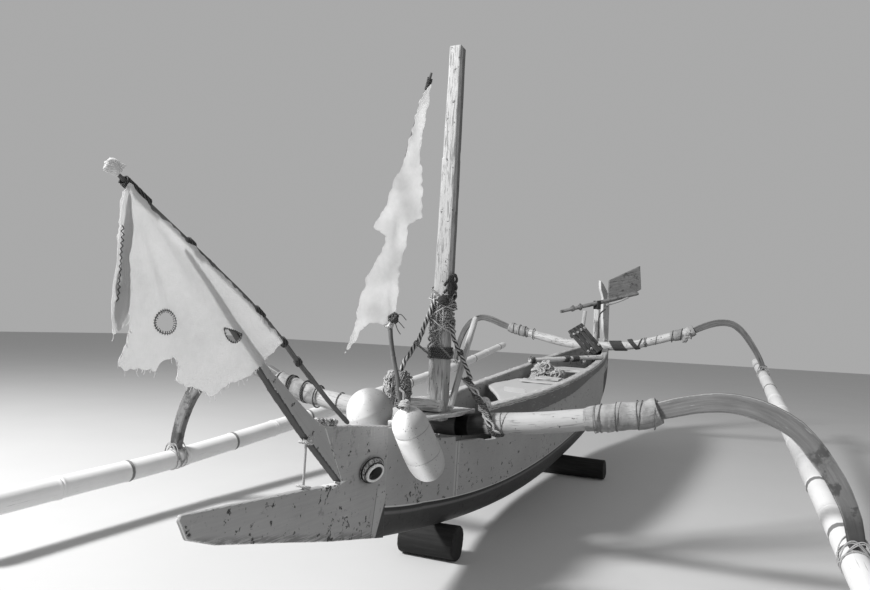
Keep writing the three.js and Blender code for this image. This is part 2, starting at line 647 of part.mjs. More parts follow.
const CRUTCH = { long: 44, baseTopZ: 1482, cheekTopZ: 1548, cheekThick: 16, clear: 5 };

function oarCrutch() {
  const cheekY = SHAFT_RADIUS + CRUTCH.clear + CRUTCH.cheekThick / 2;
  const wide = 2 * cheekY + CRUTCH.cheekThick;
  const base = block([CRUTCH.long, wide, CRUTCH.baseTopZ - CRUTCH_FOOT_Z], [0, 0, (CRUTCH.baseTopZ + CRUTCH_FOOT_Z) / 2]);
  const cheekHigh = CRUTCH.cheekTopZ - CRUTCH_FOOT_Z;
  const cheeks = [-1, 1].map((side) => (
    block([CRUTCH.long, CRUTCH.cheekThick, cheekHigh], [0, side * cheekY, CRUTCH_FOOT_Z + cheekHigh / 2])
  ));
  return turnedToOar(join([base, ...cheeks]));
}

const BLADE = [
  // distance out from the pivot, z
  [134, 1530], [385, 1600], [575, 1714], [551, 1984], [143, 1790],
];

function steeringOar() {
  const tip = [OAR_REACH * Math.cos(oarHeading), OAR_REACH * Math.sin(oarHeading), OAR_REACH * oarSlope];
  const line = line3([OAR_HANDLE, [OAR_PIVOT.x, OAR_PIVOT.y, OAR_PIVOT.z],
    [OAR_PIVOT.x + tip[0], OAR_PIVOT.y + tip[1], OAR_PIVOT.z + tip[2]]]);
  const shaft = pole(line, (t) => SHAFT_RADIUS - 6 * Math.abs(2 * t - 1), 8, 10);
  return join([shaft, turnedToOar(board(BLADE, 22, 'XZ', 0))]);
}

add('oar_crutch', oarCrutch(), DARK_PAINT);
add('steering_oar', steeringOar(), BARE_WOOD);

export default boat;
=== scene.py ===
# %% [markdown]
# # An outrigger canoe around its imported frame
#
# This lesson dresses a finished CAD model of a double outrigger fishing canoe. The canoe stands on a beach
# on two logs. The CAD gives every solid its true place, and this file gives each one the surface, the wear
# and the small parts that make it look like a boat that is used every day.

# %% Load the frame
import math
import random

import bmesh
import bpy
import numpy as np
from mathutils import Matrix, Vector, noise


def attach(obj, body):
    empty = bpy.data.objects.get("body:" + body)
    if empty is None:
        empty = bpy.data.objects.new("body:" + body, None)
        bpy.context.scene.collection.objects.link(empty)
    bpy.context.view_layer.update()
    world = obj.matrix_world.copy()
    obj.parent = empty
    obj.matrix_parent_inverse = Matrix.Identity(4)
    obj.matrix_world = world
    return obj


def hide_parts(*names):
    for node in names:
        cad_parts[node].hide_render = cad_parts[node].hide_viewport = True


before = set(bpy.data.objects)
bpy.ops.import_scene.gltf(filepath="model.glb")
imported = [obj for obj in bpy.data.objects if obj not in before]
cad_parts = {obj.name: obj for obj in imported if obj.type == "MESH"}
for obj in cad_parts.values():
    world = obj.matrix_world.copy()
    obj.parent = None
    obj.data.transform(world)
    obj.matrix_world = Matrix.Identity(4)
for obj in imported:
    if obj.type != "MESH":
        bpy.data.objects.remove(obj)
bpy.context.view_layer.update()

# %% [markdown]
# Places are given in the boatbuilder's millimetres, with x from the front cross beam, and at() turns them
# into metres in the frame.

DATUM_X = 1.83079      # the front cross beam's datum, ahead of the middle of the boat
rng = random.Random(4)


def at(x, y, z):
    """A place in the boatbuilder's millimetres, with x from the front beam, as metres in the frame."""
    return Vector((x / 1000 + DATUM_X, y / 1000, z / 1000))


# %% [markdown]
# ## Camera, floor and light
# The camera stands off the port bow, low and close, with a wide lens. Its place and its three directions
# were worked out from the lines of the boat, so they are given as they are. The floor is a pale sheet that
# meets the two logs, and it isn't part of the boat.

# %% Camera
CAMERA_AT = at(3280.99, 1336.31, 1160.62)
CAMERA_RIGHT = Vector((-0.39977, 0.91539, 0.04735))
CAMERA_UP = Vector((0.06261, -0.02426, 0.99774))
CAMERA_BACK = Vector((0.91447, 0.40184, -0.04761))
bpy.ops.object.select_all(action="DESELECT")
bpy.ops.object.camera_add(location=CAMERA_AT)
camera = bpy.context.object
camera.name = "camera"
camera.rotation_euler = Matrix((CAMERA_RIGHT, CAMERA_UP, CAMERA_BACK)).transposed().to_euler()
camera.data.sensor_width = 36
camera.data.lens = 28.014
camera.data.clip_end = 200
bpy.context.scene.camera = camera
print("camera at", tuple(round(v, 2) for v in camera.location), "lens", camera.data.lens)

# %% [markdown]
# The sun in the real place stands high ahead of the boat and on its far side. What faces forward or up is
# bright, and the near side lies in soft shade. One lamp high off the starboard bow does that, a weak one
# fills from the near side, and a pale sky does the rest.

# %% Lights
LAMPS = [
    # name, place, width, watts
    ("key_lamp", (6.9, -5.4, 6.8), 1.5, 1560),
    ("fill_lamp", (7.5, 6.0, 4.5), 6.0, 45),
]
for name, place, width, watts in LAMPS:
    bpy.ops.object.light_add(type="AREA", location=place)
    lamp = bpy.context.object
    lamp.name = name
    lamp.data.size = width
    lamp.data.energy = watts
    lamp.rotation_euler = (Vector((0.5, 0, 0.6)) - Vector(place)).to_track_quat("-Z", "Y").to_euler()
sky = bpy.data.worlds.new("sky")
sky.use_nodes = True
sky.node_tree.nodes["Background"].inputs["Color"].default_value = (0.80, 0.80, 0.80, 1)
sky.node_tree.nodes["Background"].inputs["Strength"].default_value = 0.50
bpy.context.scene.world = sky
bpy.context.scene.view_settings.view_transform = "Standard"
print(len(LAMPS), "lamps")

# %% [markdown]
# ## Shader sums in plain Python
# A finish is a sum of simple patterns. Wiring each sum by hand hides what it means, so one small class
# stands for a socket and lets the sums be written with ordinary signs, and a second one makes the nodes.


# %% Wires and finishes
class Wire:
    """The output of a shader node, on which sums can be written."""

    def __init__(self, finish, socket):
        self.finish, self.socket = finish, socket

    def sum(self, operation, first, second=0.0):
        return self.finish.node("ShaderNodeMath", {"operation": operation}, {0: first, 1: second})

    def __add__(self, other):
        return self.sum("ADD", self, other)

    def __sub__(self, other):
        return self.sum("SUBTRACT", self, other)

    def __rsub__(self, other):
        return self.sum("SUBTRACT", other, self)

    def __mul__(self, other):
        return self.sum("MULTIPLY", self, other)

    def least(self, other):
        return self.sum("MINIMUM", self, other)

    def size(self):
        return self.sum("ABSOLUTE", self)

    def wave(self):
        return self.sum("SINE", self)

    __radd__ = __add__
    __rmul__ = __mul__


def grey(tone):
    """A neutral colour from a tone between 0 and 255, as the eye reads it."""
    level = (max(tone, 0) / 255) ** 2.2
    return (level, level, level, 1)


class Finish:
    """A material, and the one way in which its nodes are made."""

    def __init__(self, name):
        self.material = bpy.data.materials.new(name)
        self.material.use_nodes = True
        self.tree = self.material.node_tree
        self.shader = self.tree.nodes["Principled BSDF"]

    def connect(self, socket, value):
        if isinstance(value, Wire):
            self.tree.links.new(value.socket, socket)
        else:
            socket.default_value = value

    def node(self, kind, settings=None, inputs=None, output=0):
        made = self.tree.nodes.new(kind)
        for key, value in (settings or {}).items():
            if key == "stops":
                ramp = made.color_ramp
                while len(ramp.elements) < len(value):
                    ramp.elements.new(0.5)
                for element, (place, tone) in zip(ramp.elements, value):
                    element.position, element.color = place, grey(tone)
            else:
                setattr(made, key, value)
        for key, value in (inputs or {}).items():
            self.connect(made.inputs[key], value)
        return Wire(self, made.outputs[output])

    def space(self, attribute=None, scale=(1, 1, 1), turn=(0, 0, 0)):
        """The piece's own coordinates in metres, or those of an attribute, stretched by scale."""
        if attribute:
            source = self.node("ShaderNodeAttribute", {"attribute_name": attribute}, output="Vector")
        else:
            source = self.node("ShaderNodeTexCoord", output="Object")
        return self.node("ShaderNodeMapping", {}, {"Vector": source, "Scale": scale, "Rotation": turn})

    def axes(self, space):
        split = self.node("ShaderNodeSeparateXYZ", {}, {0: space})
        outputs = split.socket.node.outputs
        return [Wire(self, outputs[i]) for i in range(3)]

    def noise(self, space, scale, detail=3, rough=0.55):
        inputs = {"Vector": space, "Scale": scale, "Detail": detail, "Roughness": rough}
        return self.node("ShaderNodeTexNoise", {}, inputs)

    def cells(self, space, scale):
        return self.node("ShaderNodeTexVoronoi", {}, {"Vector": space, "Scale": scale})

    def level(self, attribute):
        """A number that the piece carries at every point."""
        return self.node("ShaderNodeAttribute", {"attribute_name": attribute}, output="Fac")

    def step(self, wire, low, high):
        """0 below low, 1 above high, and smooth between them. It also works downwards."""
        inputs = {"Value": wire, "From Min": low, "From Max": high}
        return self.node("ShaderNodeMapRange", {"interpolation_type": "SMOOTHSTEP"}, inputs)

    def blend(self, share, first, second):
        """From first to second as share goes from 0 to 1. A plain number is the tone of a grey."""
        first, second = (grey(end) if isinstance(end, (int, float)) else end for end in (first, second))
        inputs = {"Factor": share, 6: first, 7: second}
        return self.node("ShaderNodeMix", {"data_type": "RGBA"}, inputs, output=2)

    def bump(self, height, distance):
        return self.node("ShaderNodeBump", {}, {"Height": height, "Distance": distance, "Strength": 1.0})

    def done(self, colour, roughness, normal=None, alpha=None, **fixed):
        self.connect(self.shader.inputs["Base Color"], colour)
        self.connect(self.shader.inputs["Roughness"], roughness)
        if normal:
            self.connect(self.shader.inputs["Normal"], normal)
        if alpha:
            self.connect(self.shader.inputs["Alpha"], alpha)
        for key, value in fixed.items():
            self.shader.inputs[key.replace("_", " ")].default_value = value
        return self.material


print("shader tools ready")

# %% [markdown]
# ## Finishes
# Wood has a grain, and the grain follows the piece, also round a bend. So every wooden piece carries its own
# coordinates in an attribute called grain: how far along the piece a point is, and how far across it. A
# finish that reads it has streaks that run the right way on a straight plank and on a curved arm alike.
#
# The boat's paint is thin and old. On all of it the paint has worn to the wood in streaks along the grain,
# flaked off in small dark chips, and been rubbed light where ropes and hands pass. Its rounded edges are
# painted lighter, partly as rubbed paint and partly as a painted highlight where they catch the light.


# %% Painted wood
def paint_patterns(made, streak):
    """Clouds, streaks and fine threads along the grain: the patterns that old paint wears by."""
    grain = made.space("grain")
    cloud = made.noise(grain, 3.2, 4, 0.6)
    fibre = made.noise(made.space("grain", (1.1, 14, 14)), streak, 5, 0.62)
    thread = made.noise(made.space("grain", (6, 160, 160)), 1.0, 2, 0.5)
    return grain, cloud, fibre, thread


def painted_wood(name, tone, chip_tone, wear, chips, bare, extra=None, gloss=0.5):
    """Old paint: tone is the paint, chip_tone the wood in a flake, wear and chips the share that is lost."""
    made = Finish(name)
    grain, cloud, fibre, thread = paint_patterns(made, 10.0)
    blots = made.noise(grain, 30, 5, 0.68)
    flakes = made.step(blots + cloud * 0.22, 0.80 - chips, 0.83 - chips)
    worn = made.step(fibre + cloud * 0.35, 0.93 - wear, 1.02 - wear)
    paint = made.blend(thread * 0.45, made.blend(cloud, tone - 16, tone + 13), tone - 34)
    colour = made.blend(worn, paint, made.blend(thread, bare - 30, bare + 14))
    # partly a painted highlight: rounded edges are lighter, as rubbed paint and as edges catching the light
    edge = made.step(made.level("rim") + cloud * 0.5 + thread * 0.3, 0.85, 1.15)
    colour = made.blend(edge * 0.75, colour, bare + 30)
    if extra:
        colour = extra(made, colour, fibre)
    colour = made.blend(flakes, colour, chip_tone)
    height = thread * 0.25 + fibre * 0.35 - worn * 0.25 - flakes * 0.9
    rough = 0.58 + worn * 0.22 + flakes * 0.1
    return made.done(colour, rough, made.bump(height, 0.0016), Specular_IOR_Level=gloss)


def shade_under_deck(made, colour, fibre):
    """Painted shade: where the front beam passes under the deck it is coloured as dark wood, as the deck shades
    it.
    """
    y = made.axes(made.space())[1]
    middle = made.step(y.size() + fibre * 0.03, 0.262, 0.24)
    # painted shadow: black in the gap between the boards, and darker still to port of it
    gap_shadow = made.step(y, 0.070, 0.080) * made.step(y, 0.152, 0.138)
    wood = made.blend(made.step(y, 0.138, 0.152), made.blend(fibre, 52, 96), made.blend(fibre, 18, 54))
    return made.blend(middle, colour, made.blend(gap_shadow, wood, 3))


def dark_mast_side(made, colour, fibre):
    """The rear part of the mast's port face, from about 1.4 m up, is coloured dark."""
    x, y, z = made.axes(made.space())
    off = x - (DATUM_X + 0.148) + (z - 0.7) * 0.02815
    rear = made.step(off + fibre * 0.02, 0.016, 0.008)
    return made.blend(made.step(y, 0.022, 0.028) * rear * made.step(z, 1.3, 1.42) * 0.95, colour, 92)


def bow_marks(made, colour, fibre):
    """The bow board has a scarf seam, the end of the dark bottom paint and a rubbed place at the mouth."""
    x, _, z = made.axes(made.space())
    x = x - DATUM_X
    slant = x + (z - 0.409) * 0.5615 - 0.708
    bottom = made.step(slant + fibre * 0.004, 0.002, -0.001) * made.step(z, 0.412, 0.406)
    colour = made.blend(bottom, colour, made.blend(fibre, 40, 66))
    scarf = x + (z - 0.481) * 0.202 - 0.777
    strip = made.step(slant, 0.0, 0.004) * made.step(scarf, 0.0, -0.007) * made.step(z, 0.5, 0.46)
    colour = made.blend(strip * 0.28, colour, 190)
    seam = made.step(scarf.size(), 0.0032, 0.001) * made.step(z, 0.5, 0.47)
    colour = made.blend(seam * 0.75, colour, 58)
    arc = (x - 1.065) * (x - 1.065) + (z - 0.79) * (z - 0.79)
    joint = made.step((arc - 0.0144).size(), 0.0007, 0.0002) * made.step(z, 0.775, 0.755)
    colour = made.blend(joint * made.step(x, 1.12, 1.14) * 0.8, colour, 50)
    foot = made.step(z - (x - 0.9) * 0.235, 0.35, 0.325) * made.step(fibre, 0.46, 0.52)
    colour = made.blend(foot * 0.55, colour, 70)
    smudge = made.noise(made.space(), 24, 5, 0.72) + made.step(z, 0.50, 0.74) * 0.07
    colour = made.blend(made.step(smudge, 0.60, 0.70) * 0.42, colour, 88)
    leaning = made.space(scale=(90, 90, 10), turn=(0, 0.75, 0))
    scratch = made.noise(leaning, 1.0, 3, 0.7) + made.step(z, 0.56, 0.74) * 0.04
    colour = made.blend(made.step(scratch, 0.68, 0.74) * 0.40, colour, 196)
    mouth = made.step((x - 1.12).size() * 0.14 + (z - 0.566).size(), 0.016, 0.008)
    return made.blend(mouth * 0.8, colour, 226)


def changed_where(attribute, full, tone):
    """An extra for a finish that takes another tone where the piece's attribute is 1."""
    def extra(made, colour, fibre):
        return made.blend(made.step(made.level(attribute) + fibre * 0.2, 0.45, full), colour, tone)
    return extra


# Painted shade on the upper jaw's down-facing edge, and painted light on the stern post's lamp-facing front
shaded_jaw_edge, lit_stern_front = changed_where("under", 0.65, 48), changed_where("front", 0.62, 208)
finishes = {
    "grey_paint": painted_wood("worn_grey_paint", 158, 56, 0.06, 0.075, 188),
    "board_paint": painted_wood("worn_bow_paint", 158, 56, 0.06, 0.075, 190, bow_marks),
    "jaw_paint": painted_wood("worn_jaw_paint", 158, 56, 0.06, 0.06, 190, shaded_jaw_edge),
    "stern_paint": painted_wood("worn_stern_paint", 158, 56, 0.06, 0.075, 188, lit_stern_front),
    "white_paint": painted_wood("worn_white_paint", 198, 84, 0.24, 0.06, 146),
    "mast_paint": painted_wood("worn_mast_paint", 170, 80, 0.24, 0.05, 128, dark_mast_side),
    "beam_paint": painted_wood("worn_beam_paint", 174, 80, 0.20, 0.03, 142, shade_under_deck, 0.1),
    "dark_strake": painted_wood("dark_strake_paint", 92, 40, 0.14, 0.03, 160),
}
print(sorted(finishes))

# %% [markdown]
# Bare wood has no paint to lose. It goes silver grey in the sun, opens in fine dark checks along the grain
# and keeps a few darker stains. One function makes every tone of it, for arms, boards, logs and poles.


# %% Bare wood
def bare_wood(name, dark, light, sound=0.5, extra=None):
    """Unpainted wood between two tones. The higher sound is, the fewer dark checks it shows."""
    made = Finish(name)
    cloud = made.noise(made.space("grain"), 5.5, 4, 0.62)
    fibre = made.noise(made.space("grain", (1.6, 26, 26)), 3.4, 6, 0.66)
    thread = made.noise(made.space("grain", (7, 230, 230)), 1.0, 2, 0.5)
    stops = [(0.28, dark - 22), (0.47, dark), (0.6, (dark + light) / 2), (0.78, light)]
    wood = made.node("ShaderNodeValToRGB", {"stops": stops}, {"Fac": fibre * 0.75 + cloud * 0.25})
    split = made.step(fibre, 0.42 - 0.1 * sound, 0.36 - 0.1 * sound)
    wood = made.blend(split * 0.8, wood, dark * 0.35)
    wood = made.blend(thread * 0.4, wood, dark - 18)
    # partly a painted highlight: rounded edges are lighter, as worn wood and as edges catching the light
    wood = made.blend(made.step(made.level("rim") + cloud * 0.6, 0.9, 1.25) * 0.7, wood, light + 30)
    if extra:
        wood = extra(made, wood, fibre)
    return made.done(wood, 0.78 + thread * 0.15, made.bump(fibre * 0.7 + thread * 0.3 - split, 0.0022))


def arm_patches(made, colour, fibre):
    """Dark patches on the lower, outer half of the arms, a dark foot, and pale scratches all over them."""
    _, y, z = made.axes(made.space())
    patch = made.noise(made.space(), 11, 4, 0.65) + fibre * 0.12
    where = made.step(y.size(), 1.56, 1.70) * made.step(z, 0.82, 0.72)
    colour = made.blend(made.step(patch, 0.575, 0.66) * where * 0.75, colour, 56)
    foot = made.step(z + patch * 0.12, 0.60, 0.50) * made.step(y.size(), 1.74, 1.78)
    scratch = made.noise(made.space("grain", (14, 90, 90)), 1.0, 3, 0.7)
    colour = made.blend(made.step(scratch, 0.66, 0.74) * 0.5, colour, 186)
    return made.blend(foot * 0.8, colour, 54)


def oar_stains(made, colour, fibre):
    """Old wet marks on the oar's board."""
    patch = made.noise(made.space(), 13, 5, 0.7) + fibre * 0.1
    return made.blend(made.step(patch, 0.57, 0.67) * 0.7, colour, 62)


finishes.update(
    bare_wood=bare_wood("weathered_wood", 92, 142),
    arm_wood=bare_wood("grey_arm_wood", 110, 134, 1.3, arm_patches),
    grate_wood=bare_wood("damp_grating_wood", 66, 116, 0.0),
    oar_wood=bare_wood("washed_oar_wood", 122, 168, 0.3, oar_stains),
    pole_wood=bare_wood("dull_pole_wood", 88, 138),
    pale_wood=bare_wood("bleached_wood", 164, 214, 0.2),
    dark_wood=bare_wood("dark_wood", 44, 84, 0.9),
    # painted shade: the logs are coloured almost black, as they lie in the boat's shadow
    log_wood=bare_wood("wet_log_wood", 24, 52, 0.9),
)
print(len(finishes), "finishes")

# %% [markdown]
# The floats are thick bamboo, painted white, and dark again at every second joint of the cane or in a few
# bands. The rings are real shapes on the mesh, and an attribute called ring says how near a point is to a dark
# one.


# %% Bamboo, rope, cloth and plastic
def bamboo(name):
    made = Finish(name)
    cloud = made.noise(made.space("grain"), 4, 4, 0.6)
    fibre = made.noise(made.space("grain", (1.2, 30, 30)), 4.5, 5, 0.6)
    worn = made.step(fibre + cloud * 0.3, 0.78, 0.92)
    colour = made.blend(worn * 0.75, made.blend(cloud, 204, 232), 150)
    collar = made.step(made.level("ring") + cloud * 0.5, 0.95, 1.15)
    colour = made.blend(collar * 0.85, colour, 78)
    rough = 0.5 + worn * 0.25 + collar * 0.2
    return made.done(colour, rough, made.bump(fibre * 0.5 - worn * 0.4, 0.0015))


def twisted_rope(name, dark, light, pitch=90.0):
    """Three strands laid round each other. The pattern reads the piece's UV map, which is in metres along."""
    made = Finish(name)
    along, around, _ = made.axes(made.space("UVMap"))
    strand = ((along * pitch + around * 3.0) * (2 * math.pi)).wave() * 0.5 + 0.5
    hair = made.noise(made.space(), 420, 3, 0.6)
    dirt = made.noise(made.space(), 17, 3, 0.6)
    shade = made.step(strand * 0.62 + hair * 0.26 + dirt * 0.2, 0.2, 0.95)
    return made.done(made.blend(shade, dark, light), 0.92, made.bump(strand + hair * 0.35, 0.0022))


def thin_cloth(name, light, stained, glow):
    """Cotton: light and stained are its tones, glow the share of the light that comes through it."""
    made = Finish(name)
    warp = made.noise(made.space(scale=(900, 900, 60)), 1.0, 1, 0.5)
    weft = made.noise(made.space(scale=(60, 60, 900)), 1.0, 1, 0.5)
    stain = made.noise(made.space(), 5.5, 5, 0.65)
    edge = made.level("edge")
    colour = made.blend(made.step(stain, 0.35, 0.75), light, stained)
    colour = made.blend(warp * 0.3, colour, stained - 25)
    colour = made.blend(edge * 0.55, colour, 120)
    solid = 0.86 - stain * 0.08 + edge * 0.2
    through = {"Subsurface_Weight": glow, "Subsurface_Scale": 0.02, "Subsurface_Radius": (1, 1, 1)}
    relief = made.bump(warp + weft, 0.0006)
    return made.done(colour, 0.9, relief, solid.least(1.0), Sheen_Weight=0.2, **through)


def scuffed_plastic(name, tone, painted_shade_drop=0, gloss=0.5, glow=0.0):
    """Hard plastic. Painted light and shade: the side turned from the lamp is painted darker by the shade
    amount, and the lit side glows by glow.
    """
    made = Finish(name)
    place = made.space()
    cloud = made.noise(place, 9, 4, 0.6)
    scratch = made.noise(made.space(scale=(8, 90, 30), turn=(0.4, 0.2, 0.9)), 1.6, 4, 0.7)
    dirt = made.step(cloud + scratch * 0.3, 0.72, 0.95)
    colour = made.blend(cloud, tone - 8, tone + 8)
    fixed = {"Specular_IOR_Level": gloss}
    # painted shade on the side turned from the lamp
    if painted_shade_drop:
        side = made.step(made.level("bleached") + cloud * 0.16, 0.38, 0.74)
        colour = made.blend(side, tone - painted_shade_drop, colour)
        # painted light: the lit side glows by emission, so it looks brighter than the lamp makes it
        made.connect(made.shader.inputs["Emission Color"], made.blend(side, 0, 220))
        fixed["Emission_Strength"] = glow
    colour = made.blend(dirt * 0.5, colour, 150)
    colour = made.blend(made.step(scratch, 0.68, 0.76) * 0.55, colour, 165)
    specks = made.noise(place, 140, 2, 0.5)
    colour = made.blend(made.step(specks + cloud * 0.25, 0.80, 0.84) * 0.8, colour, 60)
    colour = made.blend(made.level("ring") * 0.75, colour, 96)
    rough = 0.34 + dirt * 0.3 + scratch * 0.1
    return made.done(colour, rough, made.bump(scratch + cloud, 0.0007), **fixed)


finishes.update(
    bamboo=bamboo("painted_bamboo"),
    rope=twisted_rope("grey_rope", 60, 168),
    dark_rope=twisted_rope("dark_rope", 26, 104),
    pale_cord=twisted_rope("pale_cord", 138, 236, 260),
    stay_rope=twisted_rope("stay_rope", 22, 178, 34),
    flag_cloth=thin_cloth("thin_white_cotton", 204, 178, 0.55),
    bow_flag_cloth=thin_cloth("thin_grey_cotton", 196, 176, 0.42),
    white_plastic=scuffed_plastic("scuffed_white_plastic", 216),
    # painted light and shade on the two net floats: darker away from the lamp, glowing on the lit side
    float_plastic=scuffed_plastic("old_float_plastic", 232, 70, glow=0.34),
    ball_plastic=scuffed_plastic("old_ball_plastic", 206, 64, glow=0.06),
    black_paint=scuffed_plastic("black_paint", 12, gloss=0.15),
)
print(len(finishes), "finishes")

# %% [markdown]
# ## Tools for the bench
# A few jobs come back for every piece: take hold of one object alone, run a modifier and keep its result,
# give a piece its grain, and say which body it rides on and which CAD node it stands for.


# %% Bench tools
def take(piece=None):
    """Makes this the one selected and active object, or lets go of all."""
    bpy.ops.object.select_all(action="DESELECT")
    if piece:
        piece.select_set(True)
    bpy.context.view_layer.objects.active = piece
    return piece


def fresh(name, add, **settings):
    """A new piece from one of Blender's primitives."""
    take()
    add(**settings)
    bpy.context.object.name = name
    return bpy.context.object


def work(piece, kind, **settings):
    """Adds a modifier, sets it and applies it."""
    take(piece)
    modifier = piece.modifiers.new(kind.lower(), kind)
    for key, value in settings.items():
        setattr(modifier, key, value)
    bpy.ops.object.modifier_apply(modifier=modifier.name)
    return piece


def edit(piece, operator, **settings):
    """Runs one edit mode operator on the whole mesh."""
    take(piece)
    bpy.ops.object.mode_set(mode="EDIT")
    bpy.ops.mesh.select_all(action="SELECT")
    operator(**settings)
    bpy.ops.object.mode_set(mode="OBJECT")
    return piece


def merge(name, pieces):
    """Joins several pieces into the first one."""
    take(pieces[0])
    for piece in pieces[1:]:
        piece.select_set(True)
    if len(pieces) > 1:
        bpy.ops.object.join()
    pieces[0].name = name
    return pieces[0]


def smooth(piece, degrees=35):
    take(piece)
    bpy.ops.object.shade_smooth_by_angle(angle=math.radians(degrees))
    return piece


def points_of(piece):
    flat = np.empty(len(piece.data.vertices) * 3)
    piece.data.vertices.foreach_get("co", flat)
    return flat.reshape(-1, 3)


def move_points(piece, points):
    piece.data.vertices.foreach_set("co", np.array([tuple(p) for p in points], float).ravel())
    piece.data.update()


def write(piece, attribute, values):
    """Gives every point of the piece a number that a finish can read."""
    piece.data.attributes.new(attribute, "FLOAT", "POINT").data.foreach_set("value", values)
    return piece


def grain(piece, line):
    """Writes the grain attribute: metres along the line, then across it sideways and upwards."""
    line = np.array([tuple(p) for p in line], float)
    places = points_of(piece)
    best = np.full(len(places), 1e9)
    result = np.zeros((len(places), 3))
    start = 0.0
    for a, b in zip(line[:-1], line[1:]):
        run = b - a
        length = np.linalg.norm(run)
        run = run / length
        side = np.cross((0, 0, 1) if abs(run[2]) < 0.8 else (1, 0, 0), run)
        side /= np.linalg.norm(side)
        over = np.cross(run, side)
        along = (places - a) @ run
        nearest = a + np.clip(along, 0, length)[:, None] * run
        gap = np.linalg.norm(places - nearest, axis=1)
        here = gap < best
        offset = places[here] - a
        result[here] = np.stack([start + along[here], offset @ side, offset @ over], axis=1)
        best = np.minimum(best, gap)
        start += length
    held = piece.data.attributes
    written = held.get("grain") or held.new("grain", "FLOAT_VECTOR", "POINT")
    shift = np.array([rng.uniform(0, 9), 0, 0])
    written.data.foreach_set("vector", (result + shift).astype(np.float32).ravel())
    return piece


def rim(piece, thick_axis):
    """Writes the rim attribute: 1 on rounded edges between a board's face and its sides, 0 on both."""
    shares = [normal.vector[thick_axis] ** 2 for normal in piece.data.vertex_normals]
    return write(piece, "rim", [min(4.4 * share * (1 - share), 1) for share in shares])


# The CAD's slots, and the finishes that belong to each beside the one of its own name
SLOTS = {
    "grey_paint": ("hull_paint", "board_paint", "jaw_paint", "stern_paint"),
    "white_paint": ("mast_paint", "beam_paint", "bamboo"),
    "bare_wood": ("arm_wood", "grate_wood", "oar_wood"),
    "dark_wood": ("log_wood", "pole_wood"),
    "rope": ("dark_rope", "pale_cord", "stay_rope"),
    "flag_cloth": ("bow_flag_cloth",),
    "white_plastic": ("ball_plastic", "float_plastic", "eye_band", "black_paint"),
}
SLOT_OF = {finish: slot for slot, others in SLOTS.items() for finish in others}


def dress(piece, finish, *stands_for, slot=None, body="root"):
    """Gives a finished piece its material and its body, and hides what it stands for."""
    piece.data.materials.clear()
    piece.data.materials.append(finishes[finish])
    slot or SLOT_OF.get(finish, finish)
    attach(piece, body)
    if stands_for:
        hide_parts(*stands_for)
    return piece


def from_cad(name, node):
    """A copy of a CAD node with its loose triangles merged, ready to be shaped further."""
    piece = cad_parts[node].copy()
    piece.data = piece.data.copy()
    piece.name, piece.parent = name, None
    for key in list(piece.keys()):
        del piece[key]
    bpy.context.scene.collection.objects.link(piece)
    piece.hide_set(False)
    take(piece)
    bpy.ops.mesh.customdata_custom_splitnormals_clear()
    edit(piece, bpy.ops.mesh.remove_doubles, threshold=0.00005)
    return edit(piece, bpy.ops.mesh.tris_convert_to_quads, face_threshold=math.radians(60),
                shape_threshold=math.radians(70))


def weather(piece, size, scale, along=None, seed=0):
    """Moves the surface in and out a little, as hand cut wood is never true."""
    moved = []
    for vertex in piece.data.vertices:
        spot = vertex.co * scale + Vector((seed * 7.3, seed * 3.1, 0))
        if along:
            spot = Vector((spot.x * along[0], spot.y * along[1], spot.z * along[2]))
        moved.append(vertex.co + vertex.normal * (noise.noise(spot) * size))
    move_points(piece, moved)
    return piece


print("bench tools ready")

# %% [markdown]
# A rope, a cane and a pole are all tubes: a curve with a round section whose thickness changes along it.
# The curve is drawn as a path, its bevel gives the section, and it is then made a mesh whose UV map is
# stretched to metres, so that a rope's twist is the same size on a long and on a short piece.


# %% Tubes and ropes
def tube(name, points, radius, sides=12, cap=True):
    """A round tube along the points. radius is a number or one number a point."""
    path = fresh(name, bpy.ops.curve.primitive_nurbs_path_add)
    radii = radius if hasattr(radius, "__len__") else [radius] * len(points)
    widest = max(radii)
    curve = path.data
    curve.splines.clear()
    spline = curve.splines.new("POLY")
    spline.points.add(len(points) - 1)
    for point, spot, wide in zip(spline.points, points, radii):
        point.co, point.radius = (*spot, 1), wide / widest
    curve.dimensions, curve.twist_mode = "3D", "MINIMUM"
    curve.bevel_depth, curve.bevel_resolution = widest, max(sides // 4 - 1, 0)
    curve.use_fill_caps = cap
    take(path)
    bpy.ops.object.convert(target="MESH")
    piece = bpy.context.object
    length = sum((Vector(b) - Vector(a)).length for a, b in zip(points[:-1], points[1:]))
    if piece.data.uv_layers:
        for corner in piece.data.uv_layers[0].data:
            corner.uv.x *= length
        piece.data.uv_layers[0].name = "UVMap"
    return piece


def bend_line(points, steps):
    """A smooth line through the points, as evenly spaced places."""
    spots = [Vector(p) for p in points]
    full = [spots[0] * 2 - spots[1], *spots, spots[-1] * 2 - spots[-2]]
    dense = []
    for i in range(1, len(full) - 2):
        a, b, c, d = full[i - 1:i + 3]
        for k in range(12):
            t = k / 12
            dense.append(0.5 * (2 * b + (c - a) * t + (2 * a - 5 * b + 4 * c - d) * t * t
                                + (3 * b - a - 3 * c + d) * t ** 3))
    dense.append(spots[-1])
    lengths = [0.0]
    for a, b in zip(dense[:-1], dense[1:]):
        lengths.append(lengths[-1] + (b - a).length)
    line = []
    k = 0
    for i in range(steps + 1):
        goal = lengths[-1] * i / steps
        while k < len(lengths) - 2 and lengths[k + 1] < goal:
            k += 1
        share = (goal - lengths[k]) / max(lengths[k + 1] - lengths[k], 1e-9)
        line.append(dense[k].lerp(dense[k + 1], min(max(share, 0), 1)))
    return line


